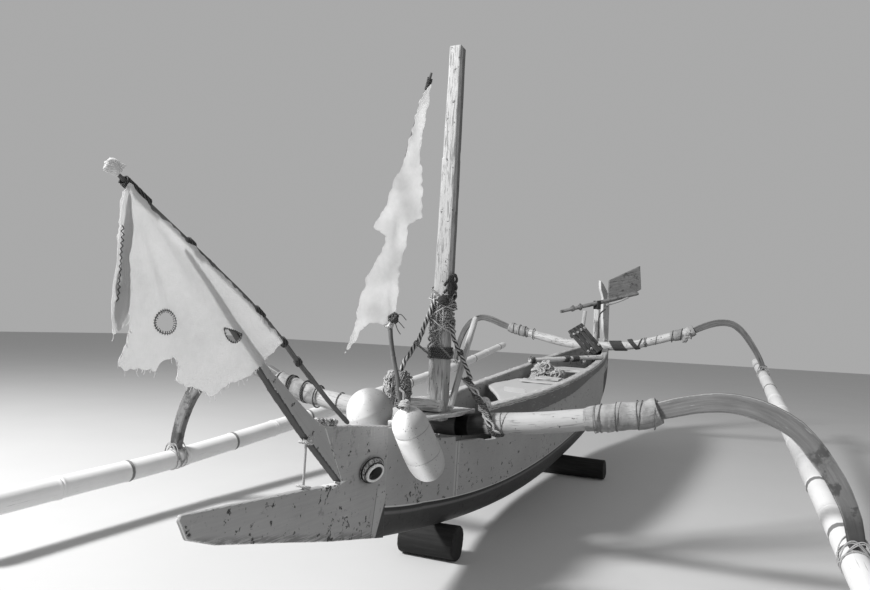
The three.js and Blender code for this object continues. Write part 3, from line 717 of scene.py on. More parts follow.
def crossways(run):
    """Two directions that are square to a run and to each other."""
    side = run.orthogonal().normalized()
    return side, run.cross(side)


def swing(pair, angle):
    """The direction at an angle between the two of a pair."""
    return pair[0] * math.cos(angle) + pair[1] * math.sin(angle)


def coil(name, start, end, radius, thick, turns, steps=18, wobble=0.15):
    """Rope wound round a straight length from start to end."""
    pair = crossways((end - start).normalized())
    spots = []
    count = int(turns * steps)
    drift = rng.uniform(0, 6.28)
    for i in range(count + 1):
        off = wobble * thick * noise.noise(Vector((i * 0.37, drift, 0)))
        centre = start.lerp(end, i / count)
        spots.append(centre + swing(pair, 2 * math.pi * i / steps + drift) * (radius + thick + off))
    return tube(name, spots, thick, 8)


print("tube tools ready")

# %% [markdown]
# The floor is a wide pale sheet at the height of the logs' undersides. Its tone rises and falls a little so
# that it isn't one flat colour.

# %% Floor
floor = fresh("floor", bpy.ops.mesh.primitive_plane_add, size=60, location=(0, 0, -0.001))
floor_finish = Finish("pale_floor")
floor_cloud = floor_finish.noise(floor_finish.space(), 1.3, 4, 0.6)
floor.data.materials.append(floor_finish.done(floor_finish.blend(floor_cloud, 184, 190), 0.9))
print("floor laid")

# %% [markdown]
# ## The hull's lines
# A dugout bottom and two side planks make the hull. Its width, its upper edge, the chine where plank and
# bottom meet, and its keel are four smooth lines along the boat, in millimetres, the same as in the CAD.

# %% Hull lines
HULL_MID, HULL_HALF, BOW_JOINT = -2010, 2452, 700


def ease(value, low, high):
    share = min(max((value - low) / (high - low), 0), 1)
    return share * share * (3 - 2 * share)


def station(x):
    return (x - HULL_MID) / HULL_HALF


def half_breadth(x):
    full = 18 + max(249 * (1 - abs(station(x)) ** 2.6), 0)
    return max(full, 18 + ease(x, -300, 450) * min(max((BOW_JOINT - x) / 12, 0), 26))


def hang(x):
    """How much lower the hull lies at x because its bow is down."""
    return 0.0689 * (x - HULL_MID)


def gunwale_z(x):
    return 835 + 62 * station(x) ** 2 - hang(x) - 12 * math.exp(-(((x - 150) / 300) ** 2))


def chine_z(x):
    return 403 + 119 * station(x) ** 4 - hang(x)


def keel_z(x):
    rise = 210 if x > HULL_MID else 105
    return 135 + rise * abs(station(x)) ** 2.5 - hang(x) + 50 * ease(x, HULL_MID, BOW_JOINT)


print("beam amidships", round(2 * half_breadth(HULL_MID)), "mm")

# %% [markdown]
# The shell starts as a flat grid. Its columns become stations along the boat and its rows run from the port
# edge, down under the keel and up to the starboard edge. The plank stands a few millimetres proud of the
# dugout bottom, which gives the dark line along the chine. A Solidify modifier then gives it its wall,
# thinner where the two sides meet at the ends.

# %% Hull shell
STERN_FOOT, STERN_RAKE_FROM, STERN_OVERHANG, PLANK_PROUD = -4600, -4330, 350, 7
ROWS, COLUMNS, CHINE_ROW = 60, 150, 0.6


def stern_share(x):
    """How far into the raked end of the hull x is."""
    return max((STERN_RAKE_FROM - x) / (STERN_RAKE_FROM - STERN_FOOT), 0)


def hull_point(u, v):
    x = STERN_FOOT + (BOW_JOINT + 3 - STERN_FOOT) * u
    side = 1 if v < 0.5 else -1
    share = abs(v - 0.5) * 2
    top, chine, keel, half = gunwale_z(x), chine_z(x), keel_z(x), half_breadth(x)
    proud = PLANK_PROUD * (1 - ease(x, 250, 520)) * ease(x, -4700, -4200)
    if share <= CHINE_ROW + 0.001:
        angle = share / CHINE_ROW * math.pi / 2
        y = 0.9 * half * math.sin(angle) ** 1.15
        z = chine - (chine - keel) * max(math.cos(angle), 0) ** 1.15
    else:
        rise = max((share - CHINE_ROW - 0.0334) / (1 - CHINE_ROW - 0.0334), 0)
        y = half * (0.9 + 0.1 * rise) + proud * (1 - 0.6 * rise)
        z = chine + 1 + (top - chine - 1) * rise
    climb = min(max((z - keel) / (top - keel), 0), 1)
    x -= STERN_OVERHANG * stern_share(x) * (1 - (1 - climb) ** 4)
    if u < 0.001:
        x, y = x - 5, 0
    return at(x, side * y, z)


def lofted(name, columns, rows, place):
    """A grid laid out in space by place(u, v)."""
    piece = fresh(name, bpy.ops.mesh.primitive_grid_add, x_subdivisions=columns, y_subdivisions=rows, size=1)
    move_points(piece, [place(p[0] + 0.5, p[1] + 0.5) for p in points_of(piece)])
    return piece


def outward(piece):
    """Turns every face outwards."""
    return edit(piece, bpy.ops.mesh.normals_make_consistent, inside=False)


def cut_away(piece, tool):
    """Cuts the tool's shape out of the piece and throws the tool away."""
    work(piece, "BOOLEAN", operation="DIFFERENCE", object=tool, solver="EXACT")
    bpy.data.objects.remove(tool)
    return piece


def plate(name, outline, low, high):
    """A flat board: its outline is given in x and z, in millimetres, and it runs from y low to y high."""
    piece = fresh(name, bpy.ops.mesh.primitive_circle_add, vertices=len(outline), radius=1, fill_type="NGON")
    move_points(piece, [at(x, low, z) for x, z in outline])
    thick = {"value": (0, (high - low) / 1000, 0)}
    return outward(edit(piece, bpy.ops.mesh.extrude_region_move, TRANSFORM_OT_translate=thick))


shell = edit(lofted("hull_shell", COLUMNS, ROWS, hull_point), bpy.ops.mesh.remove_doubles, threshold=0.0002)
keel_faces = [f for f in shell.data.polygons if abs(f.center.y) < 0.02 and f.center.z < 0.25]
if sum(f.normal.z for f in keel_faces) > 0:
    shell.data.flip_normals()
thick = shell.vertex_groups.new(name="thick")
for vertex in shell.data.vertices:
    room = half_breadth((vertex.co.x - DATUM_X) * 1000)
    thick.add([vertex.index], min(max((room - 10) / 24, 0.05), 1), "REPLACE")
work(shell, "SOLIDIFY", thickness=0.024, offset=-1, vertex_group="thick")
NOTCH = [
    (-300, 566), (-182, 572), (-155, 584), (117, 600), (118, 623), (258, 630), (430, 640), (430, 1000),
    (-300, 1000),
]
cut_away(shell, plate("notch_tool", NOTCH, -400, 400))
grain(shell, [at(-4900, 0, 700), at(-2010, 0, 560), at(700, 0, 500)])
smooth(shell, 40)
print("hull shell", len(shell.data.polygons), "faces")

# %% [markdown]
# The hull's paint is the same grey as the bow's above the chine and almost black below it. Where the plank's
# lower edge stands proud it is rubbed light, and under it runs a black line of caulking, so the finish
# needs to know how far a point is above the chine. It works that out from the chine's own formula.


# %% Hull finish
def hull_paint(name):
    made = Finish(name)
    x, _, z = made.axes(made.space())
    from_mid = (x - (HULL_MID / 1000 + DATUM_X))
    share = from_mid * (1000 / HULL_HALF)
    square = share * share
    above = z - (square * square * 0.119 - from_mid * 0.0689 + 0.403)
    grain, cloud, fibre, thread = paint_patterns(made, 9)
    aft = made.step(x, DATUM_X - 2.9, DATUM_X - 4.4)
    blots = made.noise(grain, 34, 5, 0.7) + cloud * 0.2 + made.step(above, 0.16, 0.02) * 0.03
    flakes = made.step(blots + aft * 0.055, 0.725, 0.75)
    worn = made.step(fibre + cloud * 0.3, 0.84, 0.98)
    side = made.blend(thread * 0.35, made.blend(cloud, 138, 166), 122)
    side = made.blend(worn * 0.5, side, 188)
    seam_x = (x - (0.097 + DATUM_X) + cloud * 0.004).size()
    nails = made.step(made.cells(made.space(scale=(1, 0.01, 1)), 38), 0.16, 0.08)
    seam = made.step(seam_x, 0.0032, 0.0012) + made.step(seam_x, 0.016, 0.010) * nails * 0.7
    side = made.blend(made.step(seam_x, 0.022, 0.016) * 0.35, side, 190)
    side = made.blend(seam.least(1.0) * 0.8, side, 60)
    side = made.blend(flakes, side, 62)
    rot = made.step(made.noise(made.space(scale=(9, 9, 2.2)), 2.4, 5, 0.7), 0.52, 0.62)
    side = made.blend(rot * made.step(x, DATUM_X - 4.0, DATUM_X - 4.5) * 0.8, side, 30)
    edge = made.step(above, 0.007, 0.003) * made.step(above, -0.003, 0.0)
    side = made.blend(edge * 0.7, side, 212)
    bottom = made.blend(cloud + thread * 0.3, 34, 58)
    band = made.step(above, -0.036, -0.026) * made.step(above, -0.009, -0.016)
    bottom = made.blend(band * 0.5, bottom, 120)
    bottom = made.blend(made.step(fibre + cloud * 0.5, 0.92, 1.05) * 0.35, bottom, 118)
    bottom = made.blend(made.step(above, -0.022, -0.014) * 0.85, bottom, 24)
    colour = made.blend(made.step(above, -0.0025, 0.0), bottom, side)
    height = thread * 0.2 + fibre * 0.3 - flakes * 0.8 - worn * 0.2
    return made.done(colour, 0.55 + worn * 0.2 + flakes * 0.12, made.bump(height, 0.0016))


finishes["hull_paint"] = hull_paint("worn_hull_paint")
dress(shell, "hull_paint", "hull_bottom", "hull_side_port", "hull_side_starboard", "bow_block", "stern_block")
print("hull painted")

# %% [markdown]
# At the stern the two sides close on a solid block. Its top shows as a small deck, and a wedge fills the
# same place between the planks at the bow.

# %% Stern and bow blocks
def wedge(name, from_x, to_x, drop, thick_mm, inset):
    def place(u, v):
        x = from_x + (to_x - from_x) * u
        half = max(half_breadth(x) - inset, 6)
        return at(x - STERN_OVERHANG * stern_share(x), (v * 2 - 1) * half, gunwale_z(x) - drop)
    piece = lofted(name, 24, 8, place)
    work(piece, "SOLIDIFY", thickness=thick_mm / 1000, offset=-1)
    outward(piece)
    work(piece, "BEVEL", width=0.002, segments=2, limit_method="ANGLE")
    weather(piece, 0.0015, 18)
    grain(piece, [at(from_x - 400, 0, 1000), at(to_x, 0, 1000)])
    return smooth(piece)


dress(wedge("stern_deck", -4598, -4300, 6, 40, 6), "pale_wood")
dress(wedge("bow_wedge", 560, 699, 4, 60, 5), "grey_paint")
print("blocks in place")

# %% [markdown]
# ## Planks and posts with worn edges
# Real boat timber has no sharp edge left. A copy of the CAD solid is remeshed into an even skin, which
# rounds its edges by itself, and its surface is then moved a little in and out, more along the grain.


# %% Worn timber
def carve(name, node, voxel, rough, scale, along=None):
    piece = from_cad(name, node)
    work(piece, "REMESH", mode="VOXEL", voxel_size=voxel, use_smooth_shade=True)
    work(piece, "SMOOTH", factor=0.5, iterations=2)
    return weather(piece, rough, scale, along, seed=len(name))


def long_line(piece):
    """A line through the middle of the piece, along its longest direction."""
    places = points_of(piece)
    centre = places.mean(axis=0)
    _, _, directions = np.linalg.svd((places - centre)[:: max(len(places) // 2000, 1)], full_matrices=False)
    reach = (places - centre) @ directions[0]
    return [Vector(centre + directions[0] * reach.min()), Vector(centre + directions[0] * reach.max())]


# How much the lumps of a surface are drawn out along x, y or z
DRAWN_X, HALF_DRAWN_X, DRAWN_Y, DRAWN_Z = (0.25, 1, 1), (0.5, 1, 1), (1, 0.3, 1), (1, 1, 0.3)
TIMBER = [
    # name, CAD node if it has another name, finish, voxel, roughness of hand, lumps per metre, their stretch
    ("bow_board", "", "board_paint", 0.0042, 0.0012, 9, None),
    ("upper_jaw", "", "jaw_paint", 0.0042, 0.0012, 9, None),
    ("mast", "", "mast_paint", 0.006, 0.0022, 16, (1, 1, 0.12)),
    ("mast_step", "", "white_paint", 0.005, 0.0018, 14, None),
    ("foredeck", "", "pale_wood", 0.006, 0.0035, 22, DRAWN_X),
    ("middle_boards", "", "pale_wood", 0.007, 0.003, 15, DRAWN_X),
    ("thwart", "thwart_rear", "pale_wood", 0.006, 0.002, 15, (1, 0.25, 1)),
    ("floor_boards", "", "bare_wood", 0.009, 0.003, 12, DRAWN_X),
    ("gunwale_port", "", "pale_wood", 0.0075, 0.0022, 10, HALF_DRAWN_X),
    ("gunwale_starboard", "", "pale_wood", 0.0075, 0.0022, 10, HALF_DRAWN_X),
    ("strake_port", "rub_strake_port", "dark_strake", 0.008, 0.002, 9, HALF_DRAWN_X),
    ("strake_starboard", "rub_strake_starboard", "dark_strake", 0.008, 0.002, 9, HALF_DRAWN_X),
    ("oar_prop", "", "pale_wood", 0.004, 0.0018, 22, DRAWN_Z),
    ("stern_post", "", "stern_paint", 0.005, 0.0015, 14, DRAWN_Z),
    ("oar_post", "", "white_paint", 0.005, 0.0015, 14, DRAWN_Z),
    ("cross_pole", "", "white_paint", 0.005, 0.0015, 14, DRAWN_Y),
    ("log_front", "support_log_front", "log_wood", 0.006, 0.006, 12, DRAWN_Y),
    ("log_rear", "support_log_rear", "log_wood", 0.007, 0.007, 12, DRAWN_Y),
    ("leaning_pole", "", "pale_wood", 0.004, 0.0015, 22, None),
    ("crutch", "oar_crutch", "dark_wood", 0.004, 0.0012, 22, None),
    ("grating", "", "grate_wood", 0.0045, 0.0014, 22, None),
]


def crack_tool():
    """A long thin lens that cuts the open crack in the middle boards."""
    def place(u, v):
        x = -1008 + 43 * v + (u - 0.5) * (3 + 13 * math.sin(math.pi * v))
        return at(x, -20 + 158 * v, gunwale_z(x) + 20)
    return outward(work(lofted("crack_tool", 2, 12, place), "SOLIDIFY", thickness=0.07, offset=-1))


# Boards with lighter rounded edges, partly worn and partly a painted highlight, and the axis they are thin
# along
RIMMED = {"bow_board": 1, "upper_jaw": 1, "mast": 1, "mast_step": 2, "foredeck": 2, "gunwale_port": 2,
          "gunwale_starboard": 2, "strake_port": 1, "strake_starboard": 1}
# Boards with one side of another tone, the attribute that says so, and the test of a point's direction:
# painted shade on the upper jaw's down-facing edge and painted light on the stern post's lamp-facing front
FACING = {
    "upper_jaw": ("under", lambda n: n.z < -0.3),
    "stern_post": ("front", lambda n: n.x > 0.5 and n.y < -0.25),
}
for name, node, finish, voxel, rough, scale, along in TIMBER:
    node = node or name
    piece = carve("worn_" + name, node, voxel, rough, scale, along)
    grain(piece, long_line(piece))
    if name in RIMMED:
        rim(piece, RIMMED[name])
    if name in FACING:
        attribute, test = FACING[name]
        write(piece, attribute, [float(test(normal.vector)) for normal in piece.data.vertex_normals])
    if name == "middle_boards":
        cut_away(piece, crack_tool())
    dress(piece, finish, node, body="crutch" if name == "crutch" else "root")
    print(piece.name, len(piece.data.polygons))

# %% [markdown]
# Two loose planks lie across the middle boards. Their starboard ends have split, so they end in teeth. Each is
# a grid laid over the boards, with the teeth drawn into one end, and a Solidify modifier gives it its body.


# %% Loose planks
def split_plank(name, from_x, to_x, from_y, to_y, lift, seed):
    def place(u, v):
        x = from_x + (to_x - from_x) * u
        tooth = 26 * noise.noise(Vector((u * 5, seed, 0))) + 11 * abs(((u * 6 + seed * 0.3) % 1) - 0.5)
        y = from_y + (to_y - from_y) * v + tooth * (1 - v) ** 5
        swell = 3 * noise.noise(Vector((u * 3, v * 4, seed)))
        return at(x, y, gunwale_z(x) - 10 + lift + swell + 5 * (1 - v) ** 3)
    piece = outward(work(lofted(name, 26, 40, place), "SOLIDIFY", thickness=0.012, offset=0))
    work(piece, "BEVEL", width=0.0015, segments=2, limit_method="ANGLE")
    grain(piece, [at((from_x + to_x) / 2, from_y - 40, 790), at((from_x + to_x) / 2, to_y, 790)])
    return dress(smooth(piece, 40), "pale_wood")


split_plank("split_plank_front", -1612, -1488, -62, 222, 9, 2)
split_plank("split_plank_rear", -1742, -1618, -18, 218, 11, 5)
split_plank("split_plank_top", -1690, -1560, 40, 206, 24, 9)
print("three loose planks")

# %% [markdown]
# ## The arms
# Each outrigger arm is one heavy curved plank. Its grain follows the bend, so the line that the grain
# reads is the arm's own curve, in millimetres across and up.

# %% Arms
FRONT_X, REAR_X = 45, -4172
ARM_LINES = {
    "front_arm_port": [(1003, 816), (1275, 889), (1495, 858), (1690, 695), (1800, 480), (1822, 356)],
    "front_arm_starboard": [(-1003, 806), (-1275, 889), (-1495, 858), (-1675, 685), (-1765, 455), (-1780, 342)],
    "rear_arm_port": [(928, 1218), (1182, 1335), (1375, 1318), (1556, 1086), (1634, 892)],
    "rear_arm_starboard": [(-928, 1180), (-1182, 1274), (-1375, 1292), (-1545, 1130), (-1637, 760)],
}
for node, line in ARM_LINES.items():
    front = node.startswith("front")
    piece = carve("worn_" + node, node, 0.006, 0.003, 8)
    grain(piece, bend_line([at(FRONT_X if front else REAR_X, y, z) for y, z in line], 30))
    dress(rim(piece, 0), "arm_wood" if front else "bare_wood", node)
    print(piece.name, len(piece.data.polygons))

# %% [markdown]
# ## Beams and floats
# The two cross beams are heavy painted poles that rise a little to both sides. A tube follows each beam's
# line. Its radius shrinks to the ends, and noise moves its surface a little in and out.

# %% Cross beams
FRONT_BEAM = [
    (-1000, 802), (-740, 738), (-450, 703), (-210, 686), (-90, 671), (90, 671), (210, 692), (450, 716),
    (740, 765), (1000, 812),
]
REAR_BEAM = [
    (-925, 1190), (-620, 1120), (-300, 1056), (0, 1046), (300, 1060), (560, 1118), (740, 1172), (925, 1225),
]
STEPS = 110
for name, x, line, radius, finish in (
    ("front_beam", FRONT_X, FRONT_BEAM, 0.053, "beam_paint"),
    ("rear_beam", REAR_X, REAR_BEAM, 0.047, "white_paint"),
):
    spots = bend_line([at(x, y, z) for y, z in line], STEPS)
    radii = [radius * (1 - 0.16 * abs(2 * (i / STEPS) - 1) ** 3) for i in range(STEPS + 1)]
    piece = tube("painted_" + name, spots, radii, 24)
    weather(piece, 0.0035, 7, seed=len(piece.name))
    grain(piece, spots[:: STEPS // 30] + [spots[-1]])
    dress(smooth(piece, 60), finish, name)
    print(piece.name, len(piece.data.polygons))

# %% [markdown]
# A bamboo float has a joint about every 43 cm: a groove with a low swelling on each side. The radius follows
# that along the tube, and the attribute called ring marks what is painted dark: every second joint, or on the
# port float a few bands at given places.

# %% Bamboo floats
FLOAT_LINES = {
    "port": [(1350, 1874, 168), (700, 1845, 211), (45, 1817, 294), (-1050, 1770, 437), (-2600, 1702, 638),
             (-4172, 1634, 842), (-5450, 1602, 935)],
    "starboard": [(1350, -1790, 236), (700, -1788, 256), (45, -1777, 280), (-1050, -1746, 374),
                  (-2600, -1694, 532), (-4172, -1638, 710), (-5800, -1560, 968)],
}
FIRST_JOINT = 0.13     # how far before the cane's end the joints are counted from


def cane_radius(reach, total, joint_gap, size, swell):
    """The radius of a cane at a place along it: a groove with a swelling on each side at every joint."""
    bare = size * (1 - 0.3 * max(2 * (reach / total) - 1, 0))
    off = abs((reach + FIRST_JOINT) % joint_gap - joint_gap / 2)
    ridge = swell * math.exp(-((off - 0.009) / 0.008) ** 2) - swell * 0.5 * math.exp(-(off / 0.004) ** 2)
    end = min(min(reach, total - reach) / 0.03, 1)
    return (bare + ridge) * (0.82 + 0.18 * math.sqrt(end))


def cane(name, line, joint_gap, size, swell, sides, painted_every=2, bands=()):
    """A bamboo cane. Every so many joints is painted dark, or else the bands at the given x are."""
    spots = bend_line(line, 20)
    total = sum((b - a).length for a, b in zip(spots[:-1], spots[1:]))
    reaches = set(np.linspace(0, total, int(total / (0.012 if bands else 0.06))))
    joint = joint_gap / 2 - FIRST_JOINT
    while joint < total:
        reaches |= {joint + off for off in (-0.022, -0.014, -0.009, -0.004, 0.0, 0.004, 0.009, 0.014, 0.022)}
        joint += joint_gap
    reaches = sorted(r for r in reaches if 0 <= r <= total)
    dense = bend_line(line, 400)
    places = []
    for reach in reaches:
        step = reach / total * 400
        low = int(step)
        places.append(dense[min(low, 399)].lerp(dense[min(low + 1, 400)], step % 1))
    piece = tube(name, places, [cane_radius(r, total, joint_gap, size, swell) for r in reaches], sides)
    grain(piece, spots)
    written = np.empty(len(piece.data.vertices) * 3, np.float32)
    piece.data.attributes["grain"].data.foreach_get("vector", written)
    along = written.reshape(-1, 3)[:, 0]
    along = along - along.min() + FIRST_JOINT
    if bands:
        x = points_of(piece)[:, 0]
        ring = sum(np.exp(-((x - at(band, 0, 0).x) / 0.030) ** 4) for band in bands)
    else:
        off = np.abs(along % joint_gap - joint_gap / 2)
        ring = np.exp(-(off / 0.022) ** 2) * (np.floor(along / joint_gap) % painted_every == 0)
    return smooth(write(piece, "ring", ring.astype(np.float32)), 60)


BANDS = {"port": (-840, -205, -2310, -3420), "starboard": ()}
for side, line in FLOAT_LINES.items():
    places = [at(*p) for p in line]
    piece = cane("bamboo_float_" + side, places, 0.43, 0.058, 0.0035, 28, bands=BANDS[side])
    dress(piece, "bamboo", "float_" + side)
    print(piece.name, len(piece.data.polygons))

# %% [markdown]
# ## Sleeves and lashings
# Where an arm meets its beam, both are bound in a sleeve of bark and cloth. It is a tube whose section
# swells over what is inside, with a raised seam that runs round it like a bandage.


# %% Sleeves
def sleeve_finish(name, tone):
    made = Finish(name)
    weave = made.noise(made.space("grain", (160, 700, 700)), 1.0, 2, 0.5)
    cloud = made.noise(made.space("grain"), 11, 5, 0.65)
    fibre = made.noise(made.space("grain", (4, 60, 60)), 2.0, 4, 0.6)
    colour = made.blend(made.step(cloud, 0.3, 0.75), tone, tone - 46)
    colour = made.blend(made.step(fibre, 0.56, 0.7) * 0.6, colour, tone - 80)
    colour = made.blend(weave * 0.3, colour, tone - 50)
    return made.done(colour, 0.9, made.bump(weave * 0.3 + fibre + cloud, 0.004))


finishes["sleeve_cloth"] = sleeve_finish("bark_and_cloth", 164)
SLEEVES = [
    # CAD node, x, (y, z) line, radius, turns of the seam
    ("front_sleeve_port", FRONT_X, [(720, 761), (860, 786), (1000, 812), (1045, 829)], 0.064, 1.2),
    ("front_sleeve_starboard", FRONT_X, [(-720, 735), (-860, 762), (-1000, 802), (-1045, 822)], 0.055, 1.2),
    ("rear_sleeve_port", REAR_X, [(760, 1179), (860, 1206), (925, 1225), (985, 1255)], 0.056, 2.5),
    ("rear_sleeve_starboard", REAR_X, [(-760, 1149), (-860, 1171), (-925, 1188), (-985, 1205)], 0.056, 2.5),
]


def bandage(name, line, radius, turns, steps=90):
    """A bound sleeve: the cloth is laid round in a spiral, so each turn's edge stands a little proud."""
    spots = bend_line(line, steps)
    spots.append(spots[-1] + (spots[-1] - spots[-2]).normalized() * 0.004)
    piece = tube(name, spots, radius, 56)
    run = spots[-1] - spots[0]
    length = run.length
    run.normalize()
    side, over = crossways(run)
    moved = []
    for vertex in piece.data.vertices:
        offset = vertex.co - spots[0]
        along = offset.dot(run) / length
        angle = math.atan2(offset.dot(over), offset.dot(side)) / (2 * math.pi)
        lap = (along * turns * 2 + angle) % 1
        proud = 0.0035 * (1 - ease(lap, 0.0, 0.85)) - 0.0015
        fold = 0.004 * noise.noise(Vector((along * 9, angle * 5, radius * 90)))
        taper = -0.006 * ease(along, 0.9, 1.02) - 0.009 * ease(-along, -0.22, 0.0)
        centre = spots[min(int(max(along, 0) * steps), steps)]
        moved.append(vertex.co + (vertex.co - centre).normalized() * (proud + fold + taper))
    move_points(piece, moved)
    grain(piece, line)
    return smooth(piece, 50)


for node, x, line, radius, turns in SLEEVES:
    dress(bandage("bound_" + node, [at(x, y, z) for y, z in line], radius, turns), "sleeve_cloth", node)
print(len(SLEEVES), "sleeves")

# %% [markdown]
# Each arm's foot is bound to its float with eight turns of cord that cross over the foot, and one more turn on
# each side of it.

# %% Lashings
def lashing(name, middle, run, radius, arm_half, thick=0.0026):
    """Cord that crosses over the arm's foot on both of its faces and passes under the float."""
    side = run.cross(Vector((0, 0, 1))).normalized()
    up = side.cross(run)
    reach = radius + thick + 0.0015
    cords = []
    for face, slant, shift in [(f, s, d) for f in (1, -1) for s in (1, -1) for d in (-0.006, 0.003)]:
        loop = []
        for i in range(49):
            angle = 2 * math.pi * i / 48
            lift = math.cos(angle)
            over = max(lift, 0)
            forward = (arm_half + 0.006) * face * ease(lift, -0.6, 0.55) + shift * (1 - abs(lift))
            high = reach * lift + over ** 2 * (0.030 + shift) + slant * math.sin(angle) * 0.040 * over
            loop.append(middle + run * forward + side * math.sin(angle) * reach + up * high)
        cords.append(tube(name + "_cross", loop, thick, 8))
    for sign in (1, -1):
        start = middle + run * sign * (arm_half + 0.010)
        end = start + run * sign * 0.010
        cords.append(coil(name + "_turns", start, end, radius + 0.001, thick, 1, 26, 0.4))
    return merge(name, cords)


# which arm, its x, the float's radius there, half the arm's thickness
for which, x, radius, arm_half in (("front", FRONT_X, 0.058, 0.025), ("rear", REAR_X, 0.050, 0.021)):
    for side, line in FLOAT_LINES.items():
        i = [p[0] for p in line].index(x)
        run = (at(*line[i - 1]) - at(*line[i + 1])).normalized()
        node = which + "_lashing_" + side
        dress(lashing("cord_" + node, at(*line[i]), run, radius, arm_half), "pale_cord", node)
print("four lashings")

# %% [markdown]
# ## Poles and flags
# The tall flag stands on a thin bamboo cane that bends in the wind, and the bow flag on a raked dark pole
# along the upper jaw.

# %% Flag poles
BOW_POLE = [
    (1012, 780), (1142, 864), (1247, 940), (1368, 1027), (1450, 1089), (1628, 1207), (1781, 1293),
    (1915, 1367), (2033, 1430), (2136, 1487),
]
TALL_POLE = [(-78, 790), (-99, 894), (-157, 1175), (-148, 1691), (-107, 2004), (-2, 2375)]
TALL_X = 400
dress(cane("wound_bow_pole", [at(x, 0, z) for x, z in BOW_POLE], 0.31, 0.0088, 0.0012, 16, 1),
      "pole_wood", "bow_flag_pole")
dress(cane("bent_tall_pole", [at(TALL_X, y, z) for y, z in TALL_POLE], 0.24, 0.0108, 0.0012, 16, 1),
      "pole_wood", "tall_flag_pole")
print("two flag poles")

# %% [markdown]
# A flag is a sheet of thin cotton. It starts as a fine flat grid, laid out by its two directions. The faces
# outside the torn outline are deleted, the new border is drawn onto the outline, and the sheet is then
# blown into soft folds that die out towards the pole it is tied to.


# %% Cloth sheets
def edges_of(outline):
    return zip(outline, outline[1:] + outline[:1])


def inside(outline, u, v):
    crossings = 0
    for (x0, y0), (x1, y1) in edges_of(outline):
        if (y0 > v) != (y1 > v) and u < (x1 - x0) * (v - y0) / (y1 - y0) + x0:
            crossings += 1
    return crossings % 2 == 1


def nearest_on(outline, u, v):
    """How far a point is from an outline, and the place on it that is nearest."""
    best, spot = 1e18, (u, v)
    for (x0, y0), (x1, y1) in edges_of(outline):
        run = (x1 - x0, y1 - y0)
        share = ((u - x0) * run[0] + (v - y0) * run[1]) / max(run[0] ** 2 + run[1] ** 2, 1e-9)
        share = min(max(share, 0), 1)
        place = (x0 + run[0] * share, y0 + run[1] * share)
        gap = (place[0] - u) ** 2 + (place[1] - v) ** 2
        if gap < best:
            best, spot = gap, place
    return math.sqrt(best), spot


def torn(outline, step, depth, seed):
    """The outline with small torn teeth between its corners."""
    spots = []
    for (x0, y0), (x1, y1) in edges_of(outline):
        run = math.hypot(x1 - x0, y1 - y0)
        count = max(int(run / step), 1)
        for i in range(count):
            t = i / count
            x, y = x0 + (x1 - x0) * t, y0 + (y1 - y0) * t
            place = Vector((x, y, seed))
            off = depth * noise.noise(place * 0.035) + depth * 0.5 * noise.noise(place * 0.12) if i else 0
            spots.append((x + (y1 - y0) / run * off, y - (x1 - x0) / run * off))
    return spots


def cloth_sheet(name, outline, place, blow, cell=9.0, holes=()):
    """A torn sheet. outline is in millimetres in the sheet's plane, and place(u, v, off) lays it in space."""
    (low_u, high_u), (low_v, high_v) = [(min(axis), max(axis)) for axis in zip(*outline)]
    wide, high = high_u - low_u, high_v - low_v
    piece = lofted(name, int(wide / cell), int(high / cell),
                   lambda u, v: (low_u + wide * u, low_v + high * v, 0))
    mesh = bmesh.new()
    mesh.from_mesh(piece.data)

    def cut_off(u, v):
        return not inside(outline, u, v) or any(inside(hole, u, v) for hole in holes)

    def border(vertex):
        return min(nearest_on(line, vertex.co.x, vertex.co.y) for line in (outline, *holes))

    gone = [face for face in mesh.faces if cut_off(*face.calc_center_median().xy)]
    bmesh.ops.delete(mesh, geom=gone, context="FACES")
    for vertex in mesh.verts:
        if vertex.is_boundary:
            gap, spot = border(vertex)
            if gap < cell * 1.1:
                vertex.co.xy = spot
    bmesh.ops.dissolve_degenerate(mesh, dist=0.4, edges=mesh.edges)
    flat_area = sum(face.calc_area() for face in mesh.faces) / 1e6
    gaps = [border(vertex)[0] for vertex in mesh.verts]
    mesh.to_mesh(piece.data)
    mesh.free()
    move_points(piece, [place(u, v, blow(u, v)) for u, v, _ in points_of(piece)])
    write(piece, "edge", [max(1 - gap / 7, 0) for gap in gaps])
    work(piece, "SOLIDIFY", thickness=0.0012, offset=0)
    return smooth(outward(piece), 70), flat_area


BOW_FLAG = [
    (2122, 1468), (2056, 1425), (1940, 1363), (1808, 1291), (1658, 1206), (1483, 1092), (1548, 1050),
    (1605, 1011), (1653, 988), (1738, 968), (1784, 943), (1803, 940), (1830, 956), (1924, 984),
    (1942, 993), (1928, 1027), (1953, 1053), (1975, 1048), (1998, 1034), (2005, 1017), (2078, 1028),
    (2097, 1021), (2120, 1043), (2106, 1080), (2097, 1112), (2094, 1136), (2098, 1157), (2112, 1164),
    (2130, 1142), (2131, 1113), (2139, 1107), (2144, 1119), (2144, 1204), (2138, 1266), (2142, 1321),
    (2144, 1355), (2141, 1442),
]
TALL_FLAG = [
    (14, 2316), (-24, 2051), (-35, 1970), (-14, 1892), (-4, 1674), (-75, 1635), (-80, 1542), (-111, 1437),
    (-106, 1300), (-128, 1166), (-236, 1167), (-305, 1130), (-382, 1005), (-322, 1226), (-288, 1390),
    (-202, 1516), (-189, 1586), (-263, 1626), (-187, 1762), (-105, 1986), (-44, 2240),
]


